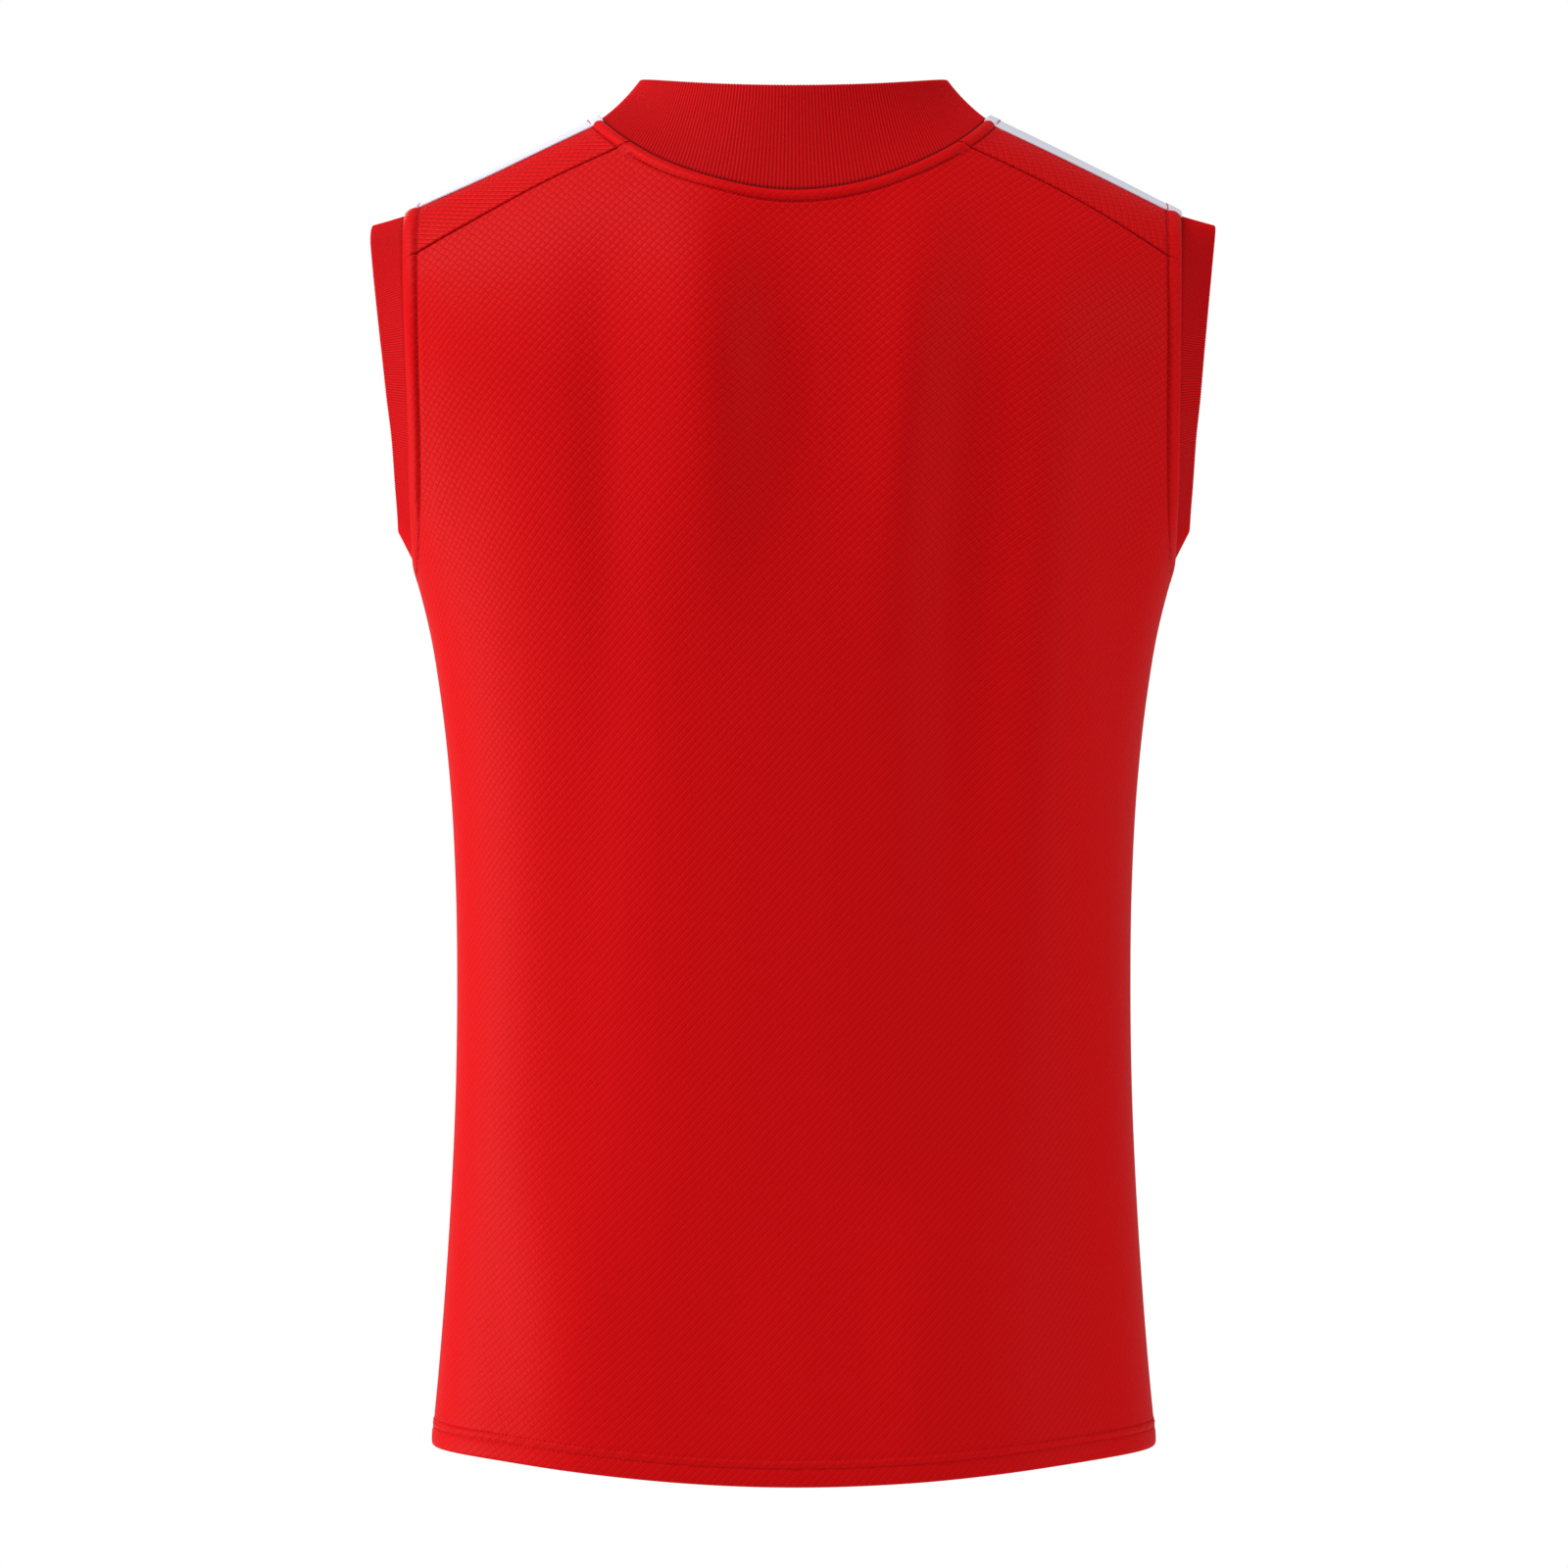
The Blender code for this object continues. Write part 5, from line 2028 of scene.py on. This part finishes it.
@dataclass
class Armband(RibPiece):
    """The rib band of one armhole. It stands out from the seam and leans in over the opening."""

    ribs: int = 340
    samples: int = 4
    hand: Hand = Hand.LEFT
    width: float = 20.5
    # Weaker painted shade by the seam.
    seam_shadow_strength: float = 0.45
    seam_rows: tuple[float, ...] = (0.0, 0.04, 0.09, 0.16)
    rise_rows: int = 8
    inner_rows: int = 6
    leans: Table = (
        (0.0, 15.0),
        (30.0, 31.0),
        (70.0, 44.0),
        (103.0, 51.0),
        (120.0, 55.5),
        (146.0, 59.5),
        (160.0, 62.0),
        (180.0, 63.0),
    )

    def towards(self, loop: Loop) -> Array:
        """Gives the way that the band runs: out from the body, leaning in over the armhole.

        Args:
            loop: the armhole seam.

        Returns:
            A direction at each station.
        """
        along = loop.along()
        centre = (loop.points.max(axis=0) + loop.points.min(axis=0)) / 2
        inward = unit(np.stack([0 * along[:, 0], -along[:, 2], along[:, 1]], axis=-1))
        inward *= np.sign(np.sum(inward * (centre - loop.points), axis=-1, keepdims=True))
        offset = loop.points - centre
        angle = np.degrees(np.arctan2(np.abs(offset[:, 1]), offset[:, 2]))
        lean = np.radians(read_table(self.leans, angle))[:, None]
        out = np.array([float(self.hand.value), 0.0, 0.0])
        return np.cos(lean) * out + np.sin(lean) * inward

    def build(self, wardrobe: Wardrobe) -> None:
        """Builds and dresses the armband. At each station its wall is straight.

        Args:
            wardrobe: the finishes.
        """
        loop = Loop.on_seam(self.form, self.form.armhole_loop(self.hand), self.stations)
        t = self.rises()[:, None, None]
        rise = self.seam_row(loop) + t * self.width * self.towards(loop)
        self.finish(f"armband_{self.hand.name.lower()}", loop, rise, wardrobe)


@dataclass
class Topstitching:
    """Rows of sewing thread along the neck, the armholes and the hem."""

    form: JerseyForm
    seams: Seams
    shoulders: dict[Hand, Shoulder]
    stitch: float = 1.9
    gap: float = 0.6
    radius: float = 0.25
    sunk: float = 0.10
    slant: float = 24.0
    dip: float = 0.35
    ridge_offset: float = 6.7
    opening_points: int = 900
    hem_width: float = 0.9995
    band_margin: float = 0.01
    rings: Table = (
        (-0.50, 0.30),
        (-0.40, 0.85),
        (-0.15, 1.00),
        (0.15, 1.00),
        (0.40, 0.85),
        (0.50, 0.30),
    )

    FACETS = 6
    CAPS = ((3, 2, 1, 0), (5, 4, 3, 0))

    def stitches(self, points: Array, normals: Array) -> ClothMesh:
        """Lays capsules end to end along a line.

        Each stitch is a tube round its own straight axis, a little aslant on the line, thinner
        at both ends, and bent down into the cloth there.

        Args:
            points: the line, close together.
            normals: the cloth's normals along it.

        Returns:
            All the stitches as one mesh.
        """
        length = lengths(points)
        count = int(length[-1] // (self.stitch + self.gap))
        centres = (np.arange(count) + 0.5) * length[-1] / count

        def read(values: Array, shift: float) -> Array:
            """Reads values at a distance past the middle of each stitch."""
            at = centres + shift
            return np.stack([np.interp(at, length, column) for column in values.T], axis=-1)

        middle, up = read(points, 0.0), unit(read(normals, 0.0))
        along = unit(read(points, self.stitch / 2) - read(points, -self.stitch / 2))
        aside = unit(np.cross(up, along))
        up = np.cross(along, aside)
        slant = math.radians(self.slant)
        along, aside = (
            math.cos(slant) * along + math.sin(slant) * aside,
            math.cos(slant) * aside - math.sin(slant) * along,
        )
        place, width = np.array(self.rings).T
        turn = np.arange(self.FACETS) * 2 * math.pi / self.FACETS
        radius = width[:, None] * self.radius
        sideways, upwards = radius * np.cos(turn), radius * np.sin(turn)
        upwards = upwards - self.dip * np.abs(2 * place[:, None]) ** 3
        shape = (
            middle[:, None, None]
            + (place * self.stitch)[None, :, None, None] * along[:, None, None]
            + sideways[None, ..., None] * aside[:, None, None]
            + upwards[None, ..., None] * up[:, None, None]
        )
        rings = len(self.rings)
        face, corner_rows, corner_columns = lattice(rings, self.FACETS, False, True)
        caps = np.array(self.CAPS)
        caps = np.concatenate([caps, (caps + (rings - 1) * self.FACETS)[:, ::-1]])
        uv = np.stack([corner_rows * self.stitch / rings, corner_columns * self.radius], axis=-1)
        uv = np.concatenate([uv, np.zeros((len(caps), 4, 2))])
        shift = (np.arange(count) * rings * self.FACETS)[:, None, None]
        faces = (np.concatenate([face, caps])[None] + shift).reshape(-1, 4)
        return ClothMesh(shape.reshape(-1, 3), faces, np.tile(uv, (count, 1, 1)))

    def lifted(self, base: Array, sign: Array) -> tuple[Array, Array]:
        """Lifts a line of the form onto the cloth's outside, over the white bands too.

        Args:
            base: points of the form.
            sign: 1 behind and -1 in front.

        Returns:
            Points on the cloth, and the normals there.
        """
        points, normals = self.form.folded(base, sign)
        height = self.seams.relief_at(points).height
        for hand, shoulder in self.shoulders.items():
            x = base[:, 0] * hand.value
            near = x > self.form.cut(sign, "yoke_neck")
            across = np.clip((x - self.form.neck_half_width) / shoulder.across_length, 0, 1)
            reach = np.where(near, x, self.form.shoulder_tip)
            share = self.form.arch_share(reach, base[:, 2], sign)
            on_band = near & (share < shoulder.band_edge(across) - self.band_margin)
            band_top = np.clip(height, *shoulder.band_bed) + shoulder.band_thickness
            height = np.where(on_band, band_top, height)
        return points + (height + self.radius - self.sunk)[:, None] * normals, normals

    def round_opening(self, traced: tuple[Array, Array], offset: float) -> ClothMesh:
        """Sews round an opening, near the outer edge of its topstitched fold.

        Args:
            traced: the traced seam.
            offset: distance of the stitches from it.

        Returns:
            The stitches.
        """
        index = Loop.resample(traced[0], self.opening_points)
        base = Loop.read(traced[0], index)
        sign = np.where(Loop.read(traced[1].astype(float), index) > 0, 1, -1)
        loop = Loop(base, self.form.normal(base, sign), sign)
        moved = base + offset * loop.away()
        sign = np.where(moved[:, 1] > 0, 1, -1)
        moved = self.form.settle(moved, sign)
        points, normals = self.lifted(moved, sign)
        return self.stitches(closed(points), closed(normals))

    def round_hem(self, above: float) -> list[ClothMesh]:
        """Sews along the hem at a height above its edge.

        Args:
            above: height above the edge.

        Returns:
            The stitches of the back and of the front.
        """
        made = []
        for side in Side:
            sign = side.value
            angle = np.linspace(-math.pi / 2, math.pi / 2, 2 * SAMPLES)
            reach = self.form.level(np.array(self.form.hem_side + above), "half_width")
            x = reach * np.sin(angle) * self.hem_width
            base = self.form.point(x, self.form.hem_z(x, sign) + above, sign)
            points, normals = self.form.folded(base, sign)
            place = lengths(base)
            place = place - place[-1] / 2
            from_side = place[-1] - np.abs(place)
            height = HemRelief().height(np.full(len(x), above), place, from_side)
            height = height + self.radius - self.sunk
            made.append(self.stitches(points + height[:, None] * normals, normals))
        return made

    @staticmethod
    def joined(parts: list[ClothMesh]) -> ClothMesh:
        """Joins cloth meshes into one.

        Args:
            parts: the meshes.

        Returns:
            Their points and faces together.
        """
        shifts = np.cumsum([0] + [len(part.points) for part in parts[:-1]])
        return ClothMesh(
            np.concatenate([part.points for part in parts]),
            np.concatenate([part.faces + shift for part, shift in zip(parts, shifts)]),
            np.concatenate([part.corner_uv for part in parts]),
        )

    def build(self, wardrobe: Wardrobe) -> None:
        """Builds and dresses all the rows of stitches.

        Args:
            wardrobe: the finishes.
        """
        offset = self.ridge_offset
        rows = {"neck_topstitch": self.round_opening(self.form.neck_loop(), offset)}
        offset *= self.seams.relief.armhole_stretch
        for hand in Hand:
            name = f"armhole_topstitch_{hand.name.lower()}"
            rows[name] = self.round_opening(self.form.armhole_loop(hand), offset)
        rows["hem_stitches"] = self.joined([
            row for above in HemRelief().stitch_heights for row in self.round_hem(above)
        ])
        for name, cloth in rows.items():
            dress(weave_mesh(name, cloth, wardrobe.thread), Slot.KNIT)


# --- Studio ---
@dataclass(frozen=True)
class SoftLight:
    """A square soft light."""

    name: str
    place: Triple
    size: float
    watts: float

    def build(self, target: Vector) -> None:
        """Builds the light.

        Args:
            target: what it faces.
        """
        lamp = bpy.data.lights.new(self.name, "AREA")
        lamp.shape = "SQUARE"
        lamp.size = self.size
        lamp.energy = self.watts
        light = bpy.data.objects.new(self.name, lamp)
        light.location = self.place
        way = target - Vector(self.place)
        light.rotation_euler = way.to_track_quat("-Z", "Y").to_euler()
        bpy.context.scene.collection.objects.link(light)


@dataclass(frozen=True)
class Studio:
    """Pale floor, soft light mostly from the wearer's left, and the camera behind the back."""

    camera_place: Triple = (0.00544, 3.1, -0.370)
    lens: float = 128.2
    sensor: float = 36.0
    floor_height: float = -1.25
    floor_radius: float = 2.6
    floor_sides: int = 96
    world_light: float = 0.35
    target: Triple = (0.0, 0.0, -0.36)
    lights: tuple[SoftLight, ...] = (
        SoftLight("key", (1.93, 0.70, 2.09), 1.1, 62.0),
        SoftLight("left_side", (3.08, 0.27, -1.19), 1.1, 76.0),
        SoftLight("right_low", (-2.68, 1.55, -1.19), 1.1, 16.0),
        SoftLight("right_fill", (-2.51, 1.45, 0.99), 1.1, 18.0),
        SoftLight("front", (0.9, -3.0, 0.6), 1.2, 30.0),
    )

    def build_world(self) -> None:
        """Lights the scene from all round, with a white sky behind it for the camera alone."""
        world = bpy.data.worlds.new("studio")
        world.use_nodes = True
        tree = world.node_tree
        back = tree.nodes["Background"]
        back.inputs["Color"].default_value = (1.0, 1.0, 1.0, 1.0)
        ray = tree.nodes.new("ShaderNodeLightPath")
        span = tree.nodes.new("ShaderNodeMapRange")
        span.inputs["To Min"].default_value = self.world_light
        span.inputs["To Max"].default_value = 1.0
        tree.links.new(ray.outputs["Is Camera Ray"], span.inputs["Value"])
        tree.links.new(span.outputs["Result"], back.inputs["Strength"])
        bpy.context.scene.world = world

    def build_floor(self) -> None:
        """Builds the floor, a round disc far below the jersey."""
        angle = np.arange(self.floor_sides) * 2 * math.pi / self.floor_sides
        rim = np.stack([np.cos(angle), np.sin(angle)], axis=1) * self.floor_radius
        points = np.column_stack([rim, np.full(len(rim), self.floor_height)])
        mesh = bpy.data.meshes.new("floor")
        mesh.from_pydata(points.tolist(), [], [list(range(self.floor_sides))])
        mesh.materials.append(FloorFinish().build())
        floor = bpy.data.objects.new("floor", mesh)
        bpy.context.scene.collection.objects.link(floor)

    def build_camera(self) -> None:
        """Builds the camera, level and square to the back."""
        data = bpy.data.cameras.new("camera")
        data.lens = self.lens
        data.sensor_width = self.sensor
        camera = bpy.data.objects.new("camera", data)
        camera.location = self.camera_place
        camera.rotation_euler = (math.pi / 2, 0.0, math.pi)
        bpy.context.scene.collection.objects.link(camera)
        bpy.context.scene.camera = camera

    def build(self) -> None:
        """Builds the studio."""
        self.build_camera()
        self.build_world()
        self.build_floor()
        for light in self.lights:
            light.build(Vector(self.target))
        bpy.context.scene.view_settings.view_transform = "Standard"


def corners(bounds: tuple[Vector, Vector]) -> list[list[float]]:
    """Turns two corners into plain lists of numbers."""
    return [[float(value) for value in corner] for corner in bounds]


def main() -> None:
    """Builds the studio, then the jersey piece by piece."""
    logging.basicConfig(level=logging.INFO, format="%(message)s")
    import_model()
    Studio().build()
    wardrobe = Wardrobe.build()
    form = JerseyForm()
    seams = Seams(form)
    shoulders = {hand: Shoulder(form, seams, hand) for hand in Hand}
    for shoulder in shoulders.values():
        shoulder.build(wardrobe)
    for side in Side:
        BodyPanel(form, seams, side).build(wardrobe)
    Collar(form).build(wardrobe)
    for hand in Hand:
        Armband(form, hand=hand).build(wardrobe)
    Topstitching(form, seams, shoulders).build(wardrobe)


if __name__ == "__main__":
    main()
